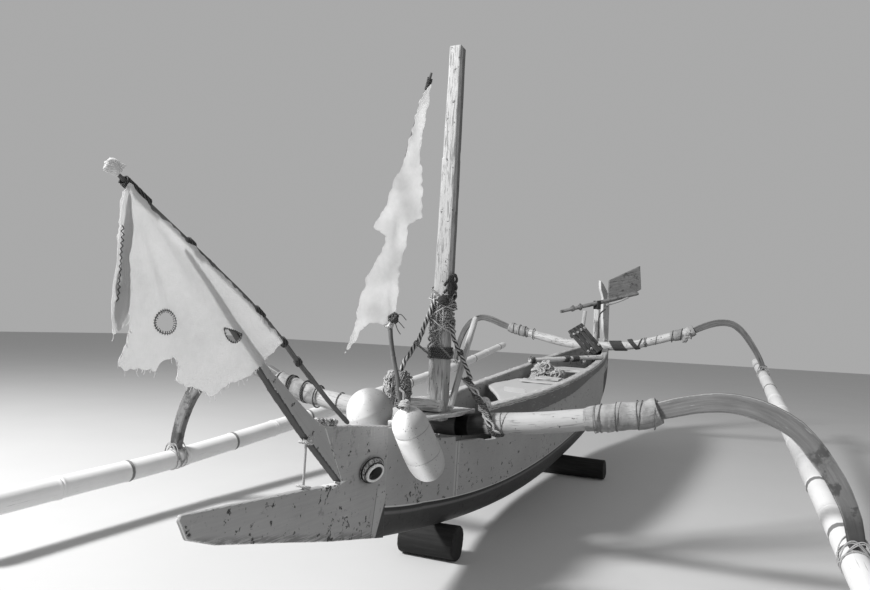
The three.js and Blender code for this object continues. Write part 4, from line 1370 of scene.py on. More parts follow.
def bow_blow(u, v):
    """How far the bow flag stands off its flat plane, in millimetres."""
    luff = abs((v - 1470) - 0.585 * (u - 2128)) / 1.16
    free = ease(luff, 20, 190)
    away = math.atan2(1470 - v, 2128 - u)
    reach = math.hypot(1470 - v, 2128 - u)
    fold = 5.0 * math.sin(away * 17) * ease(reach, 60, 260) * (1 - 0.6 * ease(reach, 300, 520))
    return fold + 5 * noise.noise(Vector((u, v, 3)) * 0.009) * free


def tall_blow(u, v):
    fold = 11 * math.sin(v / 60 + u / 45) * ease(abs(u + 30), 0, 120)
    return fold + 8 * noise.noise(Vector((u, v, 9)) * 0.01)


HALF_CUT = [
    (1768, 1131), (1722, 1124), (1687, 1113), (1694, 1098), (1712, 1089), (1730, 1090), (1748, 1098),
    (1760, 1110),
]
FLAG_HOLE = [(1983 + 38 * math.cos(6.2832 * i / 28), 1142 + 30 * math.sin(6.2832 * i / 28)) for i in range(28)]
bow_edge = torn(BOW_FLAG, 7, 7, 3)
bow_flag, bow_area = cloth_sheet("worn_bow_flag", bow_edge, lambda u, v, off: at(u, 25 + off, v), bow_blow,
                                 cell=6.0, holes=[FLAG_HOLE, HALF_CUT])
dress(bow_flag, "bow_flag_cloth", "bow_flag")
tall_flag, tall_area = cloth_sheet("worn_tall_flag", torn(TALL_FLAG, 8, 11, 8),
                                   lambda u, v, off: at(TALL_X + 22 + off, u, v), tall_blow)
dress(tall_flag, "flag_cloth", "tall_flag")
print("flags", round(bow_area, 3), round(tall_area, 3), "square metres")

# %% [markdown]
# The bow flag's free edge is folded back on itself into a soft strip, and laced to it with dark thread. The
# strip is a second torn sheet that lies a few millimetres in front of the first one. Thread is also whipped
# round the hole and round the half-round cut.

# %% Folded edge and stitches
STRIP = [
    (2136, 1462), (2119, 1427), (2108, 1369), (2116, 1285), (2110, 1230), (2108, 1167), (2122, 1128),
    (2136, 1116), (2148, 1126), (2154, 1188), (2150, 1281), (2152, 1385), (2146, 1442),
]


def strip_blow(u, v):
    return 4 * math.sin((u - 2110) / 11 + v / 60) + 3 * noise.noise(Vector((u, v, 5)) * 0.02)


strip, strip_area = cloth_sheet("folded_flag_edge", torn(STRIP, 10, 3, 5), lambda u, v, off: at(u, 34 + off, v),
                                strip_blow, cell=5.0)
dress(strip, "bow_flag_cloth")


def near_face(x, z):
    """How far to port the bow flag's near face is, in millimetres."""
    return 26.5 + bow_blow(x, z)


def whipped(name, line, pitch=9.0, long=6.0, thick=0.0011):
    """Short stitches across a closed line that is given in x and z, on the bow flag's near face."""
    stitches = []
    for (x0, z0), (x1, z1) in edges_of(line):
        span = math.hypot(x1 - x0, z1 - z0)
        count = max(int(span / pitch), 1)
        nx, nz = (z1 - z0) / span * long, -(x1 - x0) / span * long
        for i in range(count):
            t = (i + 0.5) / count
            x, z = x0 + (x1 - x0) * t, z0 + (z1 - z0) * t
            y, lean = near_face(x, z), rng.uniform(-2.0, 2.0)
            stitch = [at(x - nx + lean, y, z - nz), at(x, y + 2.0, z), at(x + nx * 0.6, y, z + nz * 0.6)]
            stitches.append(tube(name, stitch, thick, 8))
    thread = [at(x, near_face(x, z) + 1.0, z) for x, z in line + line[:1]]
    return merge(name, stitches + [tube(name, thread, thick * 0.9, 8)])


threads = []
for x, z in bow_edge:
    if z < 1215 and x > 1560 and rng.random() < 0.42:
        lean, drop, out = rng.uniform(-7, 7), rng.uniform(5, 17), rng.uniform(-4, 6)
        y = 25 + bow_blow(x, z)
        hanging = [at(x, y, z + 2), at(x + lean * 0.3, y + out * 0.6, z - drop * 0.5),
                   at(x + lean, y + out, z - drop)]
        threads.append(tube("thread", hanging, 0.0007, 8))
fringe = dress(merge("bow_flag_fringe", threads), "bow_flag_cloth")
hole_stitches = dress(whipped("hole_stitches", FLAG_HOLE), "dark_rope")
cut_stitches = dress(whipped("cut_stitches", HALF_CUT, 8.0, 4.0), "dark_rope")
lace = []
for k in range(27):
    lace.append(at(2148 - (6 if k % 2 else 0) - rng.uniform(0, 3), 37.5 + rng.uniform(0, 2), 1362 - 6.8 * k))
lacing = dress(tube("flag_lacing", lace, 0.0013, 8), "dark_rope")
print("stitches", len(hole_stitches.data.polygons) + len(cut_stitches.data.polygons), "faces")

# %% [markdown]
# ## Buoys
# The two net floats are hard white plastic. Each starts as a flat grid that is rolled round an axis into
# rings of points, and how far a ring stands off the axis changes along its length.


# %% Turned shapes
PAINTED_LIGHT_SIDE = Vector((0.50, -0.82, 0.28))  # the side of the two floats that is painted lit; the side turned from it is painted in shade


def turned(name, start, end, profile, sides, rings=()):
    """A round solid. profile is (share of the length, radius), rings the dark lines' shares."""
    last = len(profile) - 1
    piece = fresh(name, bpy.ops.mesh.primitive_grid_add, x_subdivisions=last, y_subdivisions=sides, size=1)
    run = end - start
    pair = crossways(run.normalized())
    placed, shares, facing = [], [], []
    for along, around, _ in points_of(piece):
        share, radius = profile[min(int(round((along + 0.5) * last)), last)]
        ray = swing(pair, 2 * math.pi * (around + 0.5)) * radius
        placed.append(start + run * share + ray)
        shares.append(share)
        facing.append(ray.dot(PAINTED_LIGHT_SIDE))
    move_points(piece, placed)
    dark = [[math.exp(-((share - ring) / 0.004) ** 2) for ring in rings] for share in shares]
    write(piece, "ring", [max([0.0] + strengths) for strengths in dark])
    # painted light: how far each point faces the lit side, read by the plastic finish
    write(piece, "bleached", [0.5 + 0.5 * reach / max(facing) for reach in facing])
    return outward(edit(piece, bpy.ops.mesh.remove_doubles, threshold=0.00002))


def dome(radius, from_share, to_share, count, power=2.0, rising=True):
    """Profile points of a domed end."""
    spots = []
    for i in range(count + 1):
        t = i / count
        height = (1 - (1 - t if rising else t) ** power) ** (1 / power)
        spots.append((from_share + (to_share - from_share) * t, radius * height))
    return spots


BALL_AT, BALL_RADIUS = at(562, -154, 768), 0.105
ball_axis = Vector((0.25, -0.35, 0.9)).normalized() * BALL_RADIUS
ball_profile = []
for i in range(41):
    share = 0.5 - 0.5 * math.cos(math.pi * i / 40)
    seam = 0.0016 if abs(share - 0.5) < 0.012 else 0
    ball_profile.append((share, BALL_RADIUS * math.sin(math.pi * i / 40) + seam))
ball = turned("round_net_float", BALL_AT - ball_axis, BALL_AT + ball_axis, ball_profile, 64)
work(ball, "SUBSURF", levels=1, render_levels=1)
dress(smooth(ball, 60), "ball_plastic", "ball_buoy")

CAN_TOP, CAN_FOOT, CAN_RADIUS = at(787, 125, 818), at(606, 192, 525), 0.080
CAN_BODY = [
    # share of the length, share of the radius
    (0.255, 0.955), (0.262, 0.94), (0.269, 0.93), (0.276, 0.942), (0.283, 0.958), (0.34, 0.968),
    (0.45, 0.985), (0.56, 0.998), (0.62, 1.0), (0.626, 0.993), (0.632, 0.982), (0.638, 0.993), (0.644, 1.0),
    (0.70, 0.995), (0.76, 0.975), (0.82, 0.93), (0.87, 0.86), (0.91, 0.765), (0.94, 0.66), (0.962, 0.54),
]
CAN_NECK = [
    (0.968, 0.040), (0.972, 0.0385), (0.976, 0.024), (0.985, 0.024), (0.987, 0.019), (1.0, 0.0185), (1.0, 0),
]
can_profile = dome(CAN_RADIUS * 0.95, 0.0, 0.24, 14, 2.1)
can_profile += [(share, CAN_RADIUS * wide) for share, wide in CAN_BODY] + CAN_NECK
can = turned("long_net_float", CAN_TOP, CAN_FOOT, can_profile, 56, (0.269, 0.632, 0.972))
work(can, "BEVEL", width=0.0012, segments=2, limit_method="ANGLE", angle_limit=math.radians(38))
dress(smooth(can, 50), "float_plastic", "cylinder_buoy")
print("two buoys")

# %% [markdown]
# ## Nets
# A net laid down is a heap of folded strands. Closed loops of thin rope, each one bent over the heap in its
# own way, give that look. Under them lies a dark lumpy core, so that no daylight shows through: its dark
# colour is painted shade for the heap's inside.


# %% Nets
def stretched(spot, size):
    return Vector([reach * wide for reach, wide in zip(spot, size)])


def net_heap(name, centre, size, loops, thick, seed, core_share):
    """A pile of net: loops of rope wrapped round an egg shape of the given half sizes."""
    chance = random.Random(seed)
    core = fresh(name, bpy.ops.mesh.primitive_ico_sphere_add, subdivisions=5, radius=1)
    lumps = []
    for vertex in core.data.vertices:
        swell = core_share * (1 + 0.10 * noise.noise(vertex.co * 2.3 + Vector((seed, 0, 0)))
                              + 0.05 * noise.noise(vertex.co * 9 + Vector((0, seed, 0))))
        lumps.append(centre + stretched(vertex.co, size) * swell)
    move_points(core, lumps)
    strands = []
    for k in range(loops):
        normal = Vector((chance.gauss(0, 1), chance.gauss(0, 1), chance.gauss(0, 0.8))).normalized()
        pair = crossways(normal)
        shift = chance.uniform(-0.75, 0.75)
        around = math.sqrt(1 - shift * shift)
        spots = []
        for i in range(35):
            ray = normal * shift + swing(pair, 2 * math.pi * (i % 34) / 34) * around
            wobble = 1 + 0.07 * noise.noise(ray * 3 + Vector((k * 1.7, seed, 0)))
            spots.append(centre + stretched(ray, size) * (0.88 + 0.09 * ((k * 0.618) % 1)) * wobble)
        strands.append(tube(name + "_strand", spots, thick, 6 if thick < 0.004 else 8, cap=False))
    return core, merge(name + "_strands", strands)


def ray_at(bearing, climb):
    """The direction at a bearing whose upward part is climb."""
    level = math.sqrt(1 - climb * climb)
    return Vector((math.cos(bearing) * level, math.sin(bearing) * level, climb))


def stray_loop(k, middle, ray, wide, thick, seed, spread, steps, sides):
    """A small loop of net, number k of its heap, that faces about the way of the ray."""
    pair = crossways((ray + noise.noise_vector(Vector((k * 2.3, seed, 4))) * spread).normalized())
    spots = []
    for i in range(steps + 1):
        angle = 2 * math.pi * i / steps
        spots.append(middle + swing(pair, angle) * wide * (1 + 0.25 * math.sin(2 * angle + k)))
    return tube("net_coil", spots, thick, sides)


for name, centre, size, strands, thick, seed, wide, loop_thick, loop_seed, finish, nodes in (
    ("pale_hank", at(325, -168, 850), (0.044, 0.042, 0.094), 46, 0.0036, 2, 0.017, 0.0036, 3, "pale_cord",
     ["net_bundle"]),
    ("dark_hank", at(325, -106, 848), (0.048, 0.036, 0.092), 40, 0.0038, 5, 0.018, 0.0042, 9, "rope", []),
):
    core, hank = net_heap(name + "_core", centre, size, strands, thick, seed, 0.84)
    # painted shade: the hank's dark core stands for the shade inside the heap
    dress(core, "dark_wood", *nodes, slot="rope")
    chance = random.Random(loop_seed)
    loops = [hank]
    for k in range(46):
        ray = ray_at(chance.uniform(0, 2 * math.pi), chance.uniform(-0.9, 1.0))
        middle = centre + stretched(ray, size) * 0.92
        reach = chance.uniform(0.6, 1.0) * wide
        loops.append(stray_loop(k, middle, ray, reach, loop_thick, loop_seed, 1.6, 16, 6))
    dress(merge(name + "_strands", loops), finish)

PILE_AT, PILE_SIZE = at(-2285, -88, 683), (0.198, 0.122, 0.252)
pile_core, pile = net_heap("net_pile_core", PILE_AT, PILE_SIZE, 12, 0.0058, 7, 0.80)
coils = [pile]
for k in range(130):
    ray = ray_at(rng.uniform(0, 2 * math.pi), rng.uniform(0.12, 1.0))
    middle = PILE_AT + stretched(ray, PILE_SIZE) * 0.84
    if k % 5 == 0:    # every fifth one lies on the heap's port shoulder
        middle = at(-2262 + 60 * ray.x, 26 + 34 * ray.y, 812 + 22 * ray.z)
    coils.append(stray_loop(k, middle, ray, rng.uniform(0.022, 0.042), 0.0075, 1, 1.5, 18, 8))
# painted shade: the black core stands for the shade inside the pile
dress(pile_core, "black_paint", "net_pile", slot="rope")
pile = dress(merge("net_pile_strands", coils), "pale_cord")
print("net pile", len(pile.data.polygons), "faces")

# %% [markdown]
# ## Steering oar
# The oar is one long shaft with a board nailed to it. The CAD solid is remeshed as the other timber is, and
# its grain runs along the shaft.

# %% Oar
OAR_HANDLE, OAR_PIVOT, OAR_REACH = at(-4150, -402, 1400), at(-4463, -60, 1521), 0.540
oar_run = (OAR_PIVOT - OAR_HANDLE).normalized()
oar = carve("worn_oar", "steering_oar", 0.0045, 0.0014, 16)
grain(oar, [OAR_HANDLE, OAR_PIVOT, OAR_PIVOT + oar_run * OAR_REACH])
dress(oar, "oar_wood", "steering_oar", body="oar")
print("oar", len(oar.data.polygons))

# %% [markdown]
# ## The painted eye
# Many boats of this kind carry an eye on each side of the bow. It is a low oval boss that is nailed on, with a
# weathered grey band, a raised white ring and a black pupil. All three are laid out over the same dome, so
# one function gives the height of that dome at any place, and each part is set on it.

# %% Eye
EYE_X, EYE_Z, EYE_LONG, EYE_HIGH, EYE_PROUD = 845, 576, 95, 50, 33


def on_boss(x, z, lift, side):
    """A place above or below x, z on the boss, lift millimetres out from its dome."""
    reach = math.hypot((x - EYE_X) / EYE_LONG, (z - EYE_Z) / EYE_HIGH)
    return at(x, side * (18.6 + EYE_PROUD * math.sqrt(max(1 - min(reach, 1) ** 2.2, 0)) + lift), z)


def oval(x, z, long, high, lift, side):
    """A closed line round an oval that lies on the boss."""
    angles = [2 * math.pi * (i % 56) / 56 for i in range(57)]
    return [on_boss(x + long * math.cos(a), z + high * math.sin(a), lift, side) for a in angles]


def boss(name, x, z, long, high, lift, side):
    """A patch of the dome inside an oval, with a closed back."""
    def place(u, v):
        around = 2 * math.pi * v
        spot = (x + long * u * math.cos(around), z + high * u * math.sin(around))
        return on_boss(*spot, lift * (1 - u ** 6), side)
    piece = edit(lofted(name, 14, 56, place), bpy.ops.mesh.remove_doubles, threshold=0.00002)
    return smooth(outward(work(piece, "SOLIDIFY", thickness=0.0015, offset=0)), 60)


def mottled(name):
    made = Finish(name)
    spots = made.noise(made.space(), 95, 4, 0.7)
    cloud = made.noise(made.space(), 22, 3, 0.6)
    colour = made.blend(made.step(spots, 0.42, 0.6), 70, 168)
    colour = made.blend(made.step(cloud, 0.55, 0.66) * 0.5, colour, 60)
    return made.done(colour, 0.7, made.bump(spots, 0.002))


finishes["eye_band"] = mottled("weathered_eye_band")
for name, side in (("port", 1), ("starboard", -1)):
    base = boss("eye_boss_" + name, EYE_X, EYE_Z, EYE_LONG * 0.985, EYE_HIGH * 0.985, 0.0, side)
    dress(base, "eye_band", "eye_" + name)
    rings = [tube("eye_rim", oval(EYE_X, EYE_Z, 91, 47.5, 0.5, side), 0.0034, 8),
             tube("eye_groove", oval(EYE_X + 8, EYE_Z - 7, 70, 37, 0.2, side), 0.0028, 8)]
    dress(merge("eye_dark_rings_" + name, rings), "black_paint")
    white_ring = tube("eye_white_ring_" + name, oval(EYE_X + 10, EYE_Z - 9, 57, 29.5, 2.0, side), 0.0062, 12)
    dress(smooth(white_ring, 60), "white_plastic")
    dress(boss("eye_pupil_" + name, EYE_X + 10, EYE_Z - 9, 54, 27, 5.0, side), "black_paint")
print("two eyes")

# %% [markdown]
# ## Ropes round the mast
# Old rope is wound round the foot of the mast, over a pole that once stood beside it, and its ends run down to
# the foredeck and the beam. A turn round a square post isn't a circle: it is straight on the four faces and
# tight at the corners. A superellipse gives that, and each turn gets its own tilt.

# %% Mast lashings
MAST_LOW, MAST_HIGH = at(148, 0, 700), at(94, 0, 2618)


def mast_turn(z, tilt, thick, start, loose, share=1.0):
    """One turn of rope round the mast at height z. tilt is how much higher its port side lies."""
    climb = (z / 1000 - MAST_LOW.z) / (MAST_HIGH.z - MAST_LOW.z)
    wide, deep = (46 - 13 * climb) / 1000 + thick + loose, (43 - 5 * climb) / 1000 + thick + loose
    spots = []
    for i in range(41):
        angle = start + 2 * math.pi * share * i / 40
        c, s = math.cos(angle), math.sin(angle)
        square = (abs(c) ** 5 + abs(s) ** 5) ** -0.2
        height = z / 1000 + tilt / 1000 * s + 0.003 * noise.noise(Vector((i * 0.2, z * 0.1, 0)))
        middle = MAST_LOW.lerp(MAST_HIGH, (height - MAST_LOW.z) / (MAST_HIGH.z - MAST_LOW.z))
        spots.append(Vector((middle.x + c * square * deep, s * square * wide, height)))
    return tube("turn", spots, thick, 8)


UPPER = ((1232, 66), (1240, -70), (1256, 84), (1290, 60), (1318, -46), (1120, 74), (1096, -80), (1150, 58))
LOOSE = ((1310, 24, 0.010), (1284, -30, 0.016), (1242, 40, 0.013), (1180, -46, 0.015), (1148, 20, 0.010))
turns = [mast_turn(1196 + 11 * k, rng.uniform(-9, 9), 0.0058, rng.uniform(0, 6), 0.001) for k in range(9)]
turns += [mast_turn(z, tilt, 0.0052, rng.uniform(0, 6), 0.007) for z, tilt in UPPER]
dress(merge("mast_lashing_turns", turns), "rope")
turns = [mast_turn(1012 + 11 * k, rng.uniform(-4, 4), 0.0062, rng.uniform(0, 6), 0.001) for k in range(5)]
turns += [mast_turn(z, tilt, 0.0075, 0.4, 0.004, 0.62) for z, tilt in ((1296, 92), (1270, 70), (1330, 100))]
dress(merge("mast_dark_turns", turns), "dark_rope")
turns = [mast_turn(z, tilt, 0.0036, rng.uniform(0, 6), loose) for z, tilt, loose in LOOSE]
dress(merge("mast_loose_turns", turns), "pale_cord")
print("three sets of mast lashings")

# %% [markdown]
# A stretched rope hangs almost straight, and its strands bulge where it is knotted. Each of these ropes is a
# smooth line through a few places: its two ends, on what it is tied to, and the knots between them.

# %% Stretched ropes
def rope_line(name, places, thick, finish="rope", steps=40, fuzz=0.0):
    spots = bend_line([at(*p) for p in places], steps)
    for i in range(1, len(spots) - 1):
        spots[i] = spots[i] + noise.noise_vector(Vector((i * 0.35, len(name), 0))) * fuzz
    return dress(smooth(tube(name, spots, thick, 12), 60), finish)


def knot(name, place, size, seed, loops, thick, finish="rope", body="root"):
    """A tight knot: a few small loops of cord turned every way about one place."""
    made = []
    for k in range(loops):
        pair = crossways(noise.noise_vector(Vector((k * 3.1, seed * 5.7, 1))).normalized())
        spots = []
        for i in range(21):
            angle = 2 * math.pi * i / 20
            spots.append(at(*place) + swing(pair, angle) * size * (1 + 0.2 * math.sin(3 * angle + k)))
        made.append(tube(name, spots, thick, 8))
    return dress(merge(name, made), finish, body=body)


rope_line("mast_forward_rope", [(186, -20, 1300), (215, -57, 1170), (250, -80, 1079), (290, -106, 1014),
                                (325, -130, 940)], 0.0115, "stay_rope", fuzz=0.006)
rope_line("mast_forward_branch", [(252, -80, 1075), (220, -54, 1046), (186, -30, 1020)], 0.006, fuzz=0.002)
knot("mast_forward_knot", (252, -81, 1077), 0.011, 3, 4, 0.0055)
rope_line("mast_side_rope", [(165, 52, 1190), (140, 80, 1090), (122, 107, 1029), (108, 150, 930),
                             (106, 161, 908)], 0.0100, "stay_rope", fuzz=0.005)
knot("mast_side_knot", (120, 100, 1040), 0.012, 5, 4, 0.006, "dark_rope")
for k, places in enumerate((
    [(182, -42, 1330), (188, -44, 1260), (184, -46, 1180), (187, -40, 1110)],
    [(184, -10, 1300), (190, -6, 1220), (186, -16, 1140), (190, -4, 1060)],
    [(184, 20, 1280), (189, 26, 1200), (186, 14, 1120), (188, 22, 1040)],
    [(160, 50, 1350), (158, 54, 1280), (160, 50, 1210)],
    [(183, -24, 1010), (186, -18, 960), (184, -26, 900)],
)):
    thick, finish = (0.0050, "rope") if k % 2 else (0.0038, "pale_cord")
    rope_line(f"mast_hanging_strand_{k}", places, thick, finish, fuzz=0.006)
print("stretched ropes done")

# %% [markdown]
# A strap of frayed cords comes down from the mast, over the beam and round under it. Eight cords of three
# tones run side by side and cross each other by chance, as old rope does when its lay has opened.

# %% Strap and beam cords
STRAP = [
    (112, 128, 918), (108, 161, 880), (106, 190, 835), (104, 222, 790), (106, 250, 740), (107, 276, 690),
    (98, 300, 655), (60, 312, 642),
]
strap_line = bend_line([at(*p) for p in STRAP], 90)
plait = []
for k in range(8):
    spots = []
    for i, spot in enumerate(strap_line):
        angle = 2 * math.pi * (i / 46 + k / 8) + 1.6 * noise.noise(Vector((i * 0.09, k * 5.1, 2)))
        loose = 1 + 0.5 * noise.noise(Vector((i * 0.12, k * 3.7, 7)))
        side = Vector((0.007 * math.cos(angle) + 0.003, 0.015 * math.sin(angle), 0.005 * math.sin(angle)))
        spots.append(spot + side * loose)
    plait.append(tube("strap_cord", spots, 0.0056 if k % 2 else 0.0048, 8))
dress(merge("frayed_strap", plait[:4]), "dark_rope")
dress(merge("frayed_strap_light_cords", plait[4:6]), "pale_cord")
dress(merge("frayed_strap_grey_cords", plait[6:]), "rope")


def ring_round(x, line, radius, thick, y, slant):
    """A turn of cord round a beam: the beam's line gives its height, slant shifts its front face sideways."""
    height = np.interp(y, [p[0] for p in line], [p[1] for p in line])
    reach = (radius + thick * 0.7) * 1000
    spots = []
    for i in range(45):
        c, s = math.cos(2 * math.pi * i / 44), math.sin(2 * math.pi * i / 44)
        spots.append(at(x + reach * c, y + slant * s, height + reach * s))
    return tube("beam_cord", spots, thick, 8)


FRONT, REAR = (FRONT_X, FRONT_BEAM), (REAR_X, REAR_BEAM)
RINGS = [
    # name, beam, radius, thickness, finish, (y, slant) of every turn
    ("front_beam_port_cords", FRONT, 0.0525, 0.0018, "rope",
     [(246, -14), (262, 10), (318, -12), (325, 14), (730, -6), (739, 5)]),
    ("port_sleeve_cords", FRONT, 0.0655, 0.0019, "rope",
     [(765, -5), (784, 6), (792, -4), (862, -4), (874, 5), (957, -8), (968, 4), (1033, 2)]),
    ("front_beam_starboard_cords", FRONT, 0.0525, 0.0030, "rope", [(-330, 8), (-345, -8), (-620, 4)]),
    ("starboard_sleeve_cords", FRONT, 0.0575, 0.0042, "dark_rope",
     [(-765, 5), (-842, -4), (-850, 4), (-938, 5), (-948, -3), (-1020, 2)]),
    ("rear_beam_port_cords", REAR, 0.0465, 0.0030, "rope", [(505, -8), (511, 8), (518, -5), (620, 8)]),
    ("rear_sleeve_cords", REAR, 0.0580, 0.0036, "dark_rope",
     [(778, 6), (866, 8), (955, -6), (-700, 4), (-790, -5), (-860, 5), (-925, -3)]),
]
for name, beam, radius, thick, finish, places in RINGS:
    dress(merge(name, [ring_round(*beam, radius, thick, y, slant) for y, slant in places]), finish)
knot("rear_beam_knot", (-4122, 511, 1098), 0.013, 8, 4, 0.005)
print(len(RINGS), "sets of cord turns")

# %% [markdown]
# Wider bindings are many turns side by side: a dark one on the rear beam beside the hull, two slanting bands
# next to it, and three round the pole that lies across both gunwales.

# %% Wide bindings
wide = []
for low, high, slant in ((170, 300, -34), (372, 420, -46), (452, 474, 20)):
    for k in range(int((high - low) / 8)):
        wide.append(ring_round(*REAR, 0.0465, 0.0045, low + 8 * k, slant + rng.uniform(-2, 2)))
dress(merge("rear_beam_bindings", wide), "dark_rope")
CROSS_STARBOARD, CROSS_PORT = at(-2450, -262, 911.5), at(-3040, 262, 960.5)


def in_mm(spot):
    """A place in the frame, in the millimetres that at() takes."""
    return ((spot.x - DATUM_X) * 1000, spot.y * 1000, spot.z * 1000)


def cross_at(share, drop=0.0):
    x, y, z = in_mm(CROSS_STARBOARD.lerp(CROSS_PORT, share))
    return x, y, z - drop


def bound(name, start, end, radius, thick, turns, steps, wobble=0.5, finish="dark_rope"):
    """Turns of cord round a pole between two places in millimetres, with their finish."""
    return dress(coil(name, at(*start), at(*end), radius, thick, turns, steps, wobble), finish)


bands = [bound("binding", cross_at(a), cross_at(b), 0.0200, 0.0048, turns, 20)
         for a, b, turns in ((0.02, 0.07, 4), (0.46, 0.53, 5), (0.57, 0.66, 6))]
dress(merge("cross_pole_bindings", bands), "dark_rope")
knot("cross_pole_knot", cross_at(0.72, 34), 0.020, 4, 5, 0.007, "pale_cord")
knot("cross_pole_end_knot", cross_at(0.03, -14), 0.020, 6, 4, 0.006)
for k in range(5):
    top, foot = cross_at(0.05 + 0.012 * k, 20), (-2410 + 12 * k, -176 + 12 * k, 840)
    middle = ((top[0] + foot[0]) / 2, (top[1] + foot[1]) / 2 - 8, (top[2] + foot[2]) / 2)
    rope_line(f"pile_strand_{k}", [top, middle, foot], 0.0065, "dark_rope", 16, fuzz=0.006)
BOW_POLE_TIES = [
    # x and z of a binding's upper end, and of its lower end
    (2040, 1434, 2118, 1477), (1568, 1168, 1606, 1193), (1440, 1082, 1462, 1097), (1880, 1347, 1904, 1361),
    (1352, 1015, 1372, 1030),
]
for k, (x0, z0, x1, z1) in enumerate(BOW_POLE_TIES):
    count = int(math.hypot(x1 - x0, z1 - z0) / 5.2)
    bound(f"bow_pole_binding_{k}", (x0, 0, z0), (x1, 0, z1), 0.0088, 0.0026, count, 16, 0.4)
print("wide bindings done")

# %% [markdown]
# ## Small cords at the bow
# A light cord stays the gap between the jaws, and a knotted one lies along the top of the head. The long net
# float hangs by its neck from the net, and the flags are tied to their poles with strips of their own cloth.

# %% Bow cords
rope_line("jaw_stay", [(1287, 0, 742), (1288, 0, 680), (1289, 0, 583)], 0.0046, "pale_cord", 12)
for k, (x, z) in enumerate(((1284, 762), (1289, 742), (1289, 592))):
    turn = [at(x + 16 * math.cos(a / 4), 25 * math.sin(a / 4), z + 5 * math.cos(a / 4)) for a in range(26)]
    dress(tube(f"jaw_stay_turn_{k}", turn, 0.0046, 8), "pale_cord")
knot("jaw_stay_knot", (1294, 12, 752), 0.012, 2, 4, 0.0045, "pale_cord")
for k, x in enumerate((1120, 1148, 1178, 1206, 1236)):
    knot(f"head_knot_{k}", (x, 6, 792 + k * 4), 0.010, k + 11, 3, 0.005, "rope" if k % 2 else "pale_cord")
rope_line("head_rope", [(1110, 8, 790), (1150, 12, 794), (1190, 6, 798), (1240, 10, 814)], 0.0045,
          steps=24, fuzz=0.004)
rope_line("can_neck_rope", [(776, 119, 838), (740, 100, 862), (620, 40, 872), (470, -50, 866),
                            (350, -112, 868)], 0.0055)
bound("can_neck_turns", (790, 125, 822), (777, 129, 846), 0.014, 0.0052, 3, 20, finish="pale_cord")
PEG_FOOT, PEG_TOP = at(50, 218, 742), at(48, 214, 826)
peg_profile = dome(0.034, 0.0, 0.3, 8) + dome(0.034, 0.35, 1.0, 12, 2.2, rising=False)
peg = turned("beam_peg", PEG_FOOT, PEG_TOP, peg_profile, 32)
grain(peg, [PEG_FOOT, PEG_TOP])
dress(smooth(peg, 60), "white_paint")
knot("can_neck_knot", (778, 128, 846), 0.013, 9, 4, 0.005, "pale_cord")
print("bow cords done")

# %% [markdown]
# A strip of cloth knotted round a pole crumples into folds. It starts as a ball of many faces, and noise of
# two sizes pushes its surface in and out.

# %% Cloth knots
CRUMPLES = [
    # name, place, half sizes, seed, finish
    ("bow_pole_cloth_knot", (2150, 4, 1500), (0.030, 0.020, 0.020), 3, "flag_cloth"),
    ("tall_pole_cloth_knot", (404, -158, 1162), (0.022, 0.026, 0.026), 5, "flag_cloth"),
    ("rear_beam_cloth_knot", (-4150, 925, 1226), (0.058, 0.062, 0.058), 7, "flag_cloth"),
    ("stern_cloth_knot", (-4668, 14, 1098), (0.040, 0.034, 0.028), 9, "flag_cloth"),
    ("mast_dark_cloth_knot", (196, 30, 1296), (0.020, 0.034, 0.030), 11, "dark_rope"),
    ("mast_dark_cloth_end", (178, 58, 1368), (0.014, 0.022, 0.060), 13, "dark_rope"),
    ("rear_beam_cloth_end", (-4138, 900, 1168), (0.018, 0.034, 0.052), 15, "sleeve_cloth"),
]
for name, place, size, seed, finish in CRUMPLES:
    piece = fresh(name, bpy.ops.mesh.primitive_ico_sphere_add, subdivisions=5, radius=1)
    moved = []
    for vertex in piece.data.vertices:
        ray = vertex.co.normalized()
        fold = 0.34 * noise.noise(ray * 1.7 + Vector((seed, 0, 0)))
        fold += 0.14 * abs(noise.noise(ray * 3.4 + Vector((0, seed, 0))))
        moved.append(at(*place) + stretched(ray, size) * (0.82 + fold))
    move_points(piece, moved)
    dress(smooth(piece, 60), finish)
bound("tall_pole_tie", (400, -150, 1205), (400, -154, 1178), 0.0115, 0.0045, 4, 18, 0.6)
knot("tall_pole_knot", (412, -132, 1196), 0.020, 7, 5, 0.006, "dark_rope")
for k, (x, y, z) in enumerate(((420, -70, 1150), (414, -92, 1120), (424, -60, 1188))):
    places = [(414, -130, 1196), ((414 + x) / 2, (y - 130) / 2, z + 26), (x, y, z)]
    rope_line(f"tall_pole_strand_{k}", places, 0.0022, "dark_rope", 14)
bound("tall_pole_tip_tie", (400, -22, 2290), (400, -8, 2345), 0.0075, 0.0032, 8, 16)
print("cloth knots done")

# %% [markdown]
# ## Round the oar and the stern
# The oar is kept in its crutch by turns of cord, and more cord is knotted on its handle. A light stick is
# nailed under the blade.

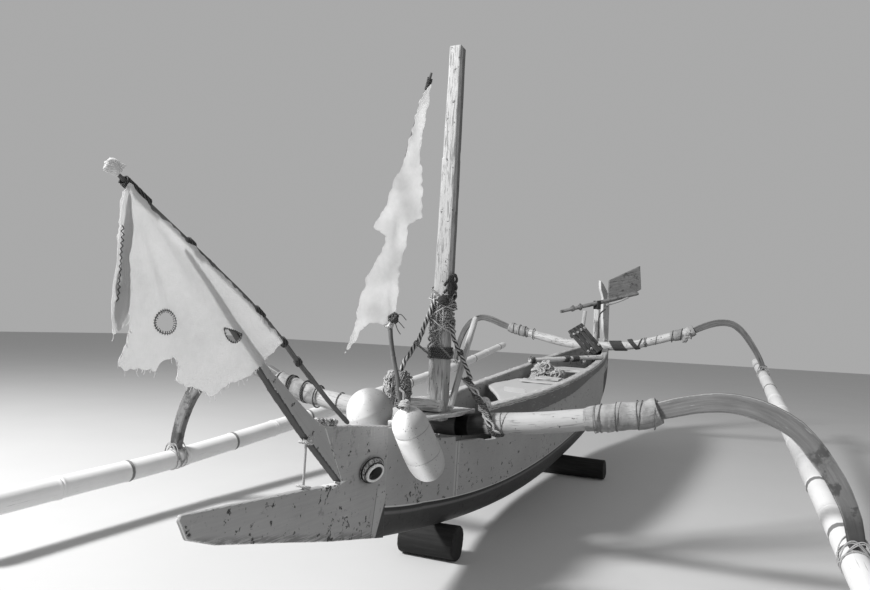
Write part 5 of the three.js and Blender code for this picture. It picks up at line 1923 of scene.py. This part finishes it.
# %% Oar fittings
oar_turns = []
for start, end, radius in ((0.30, 0.345, 0.0235), (0.50, 0.56, 0.0238)):
    start, end = OAR_HANDLE.lerp(OAR_PIVOT, start), OAR_HANDLE.lerp(OAR_PIVOT, end)
    count = max(int((end - start).length / 0.0085), 2)
    oar_turns.append(coil("oar_turns", start, end, radius, 0.0036, count, 18, 0.4))
dress(merge("oar_cord_turns", oar_turns), "rope", body="oar")
for k, (share, off) in enumerate(((0.33, 0.027), (0.53, 0.028), (0.55, -0.026))):
    place = in_mm(OAR_HANDLE.lerp(OAR_PIVOT, share) + Vector((0, 0, off)))
    knot(f"oar_knot_{k}", place, 0.011, k + 21, 3, 0.004, body="oar")
rope_line("stern_post_rope", [(-4425, 40, 1455), (-4425, -7, 1409), (-4425, -27, 1352), (-4425, -25, 1240),
                              (-4425, -19, 1128)], 0.0085, "dark_rope", 30, fuzz=0.003)
out = Vector((oar_run.x, oar_run.y, 0)).normalized()


def by_blade(reach, z, off):
    """A place beside the blade: reach out from the pivot in millimetres, and off across it."""
    spot = OAR_PIVOT + out * (reach / 1000)
    return Vector((spot.x, spot.y, z / 1000)) + Vector((-out.y, out.x, 0)) * off


stick_line = [by_blade(reach, z, -0.022) for reach, z in ((112, 1508), (200, 1530), (300, 1567), (392, 1606))]
stick = tube("blade_stick", bend_line(stick_line, 20), 0.011, 12)
weather(stick, 0.002, 30)
grain(stick, [by_blade(112, 1508, 0), by_blade(392, 1606, 0)])
dress(stick, "pale_wood", body="oar")
print("oar fittings done")

# %% [markdown]
# The slats of the grating are tied on with small knots of pale cord, four above and three below.

# %% Grating knots
GRATE_AT = at(-3400, -143, 1186)
grate_across = Vector((-200, 90, 88)).normalized()
grate_normal = grate_across.cross(Vector((0, 220, -253))).normalized()
grate_down = grate_normal.cross(grate_across).normalized()
# Where the knots are, in millimetres across the grating and down it
TIED = ((24, 60), (86, 62), (148, 58), (210, 60), (24, 275), (86, 272), (210, 276))
for k, (across, down) in enumerate(TIED):
    spot = GRATE_AT + grate_across * across / 1000 + grate_down * down / 1000 - grate_normal * 0.012
    knot(f"grating_knot_{k}", in_mm(spot), 0.010, k + 31, 3, 0.0042, "pale_cord")
print("grating normal", tuple(round(v, 2) for v in grate_normal))
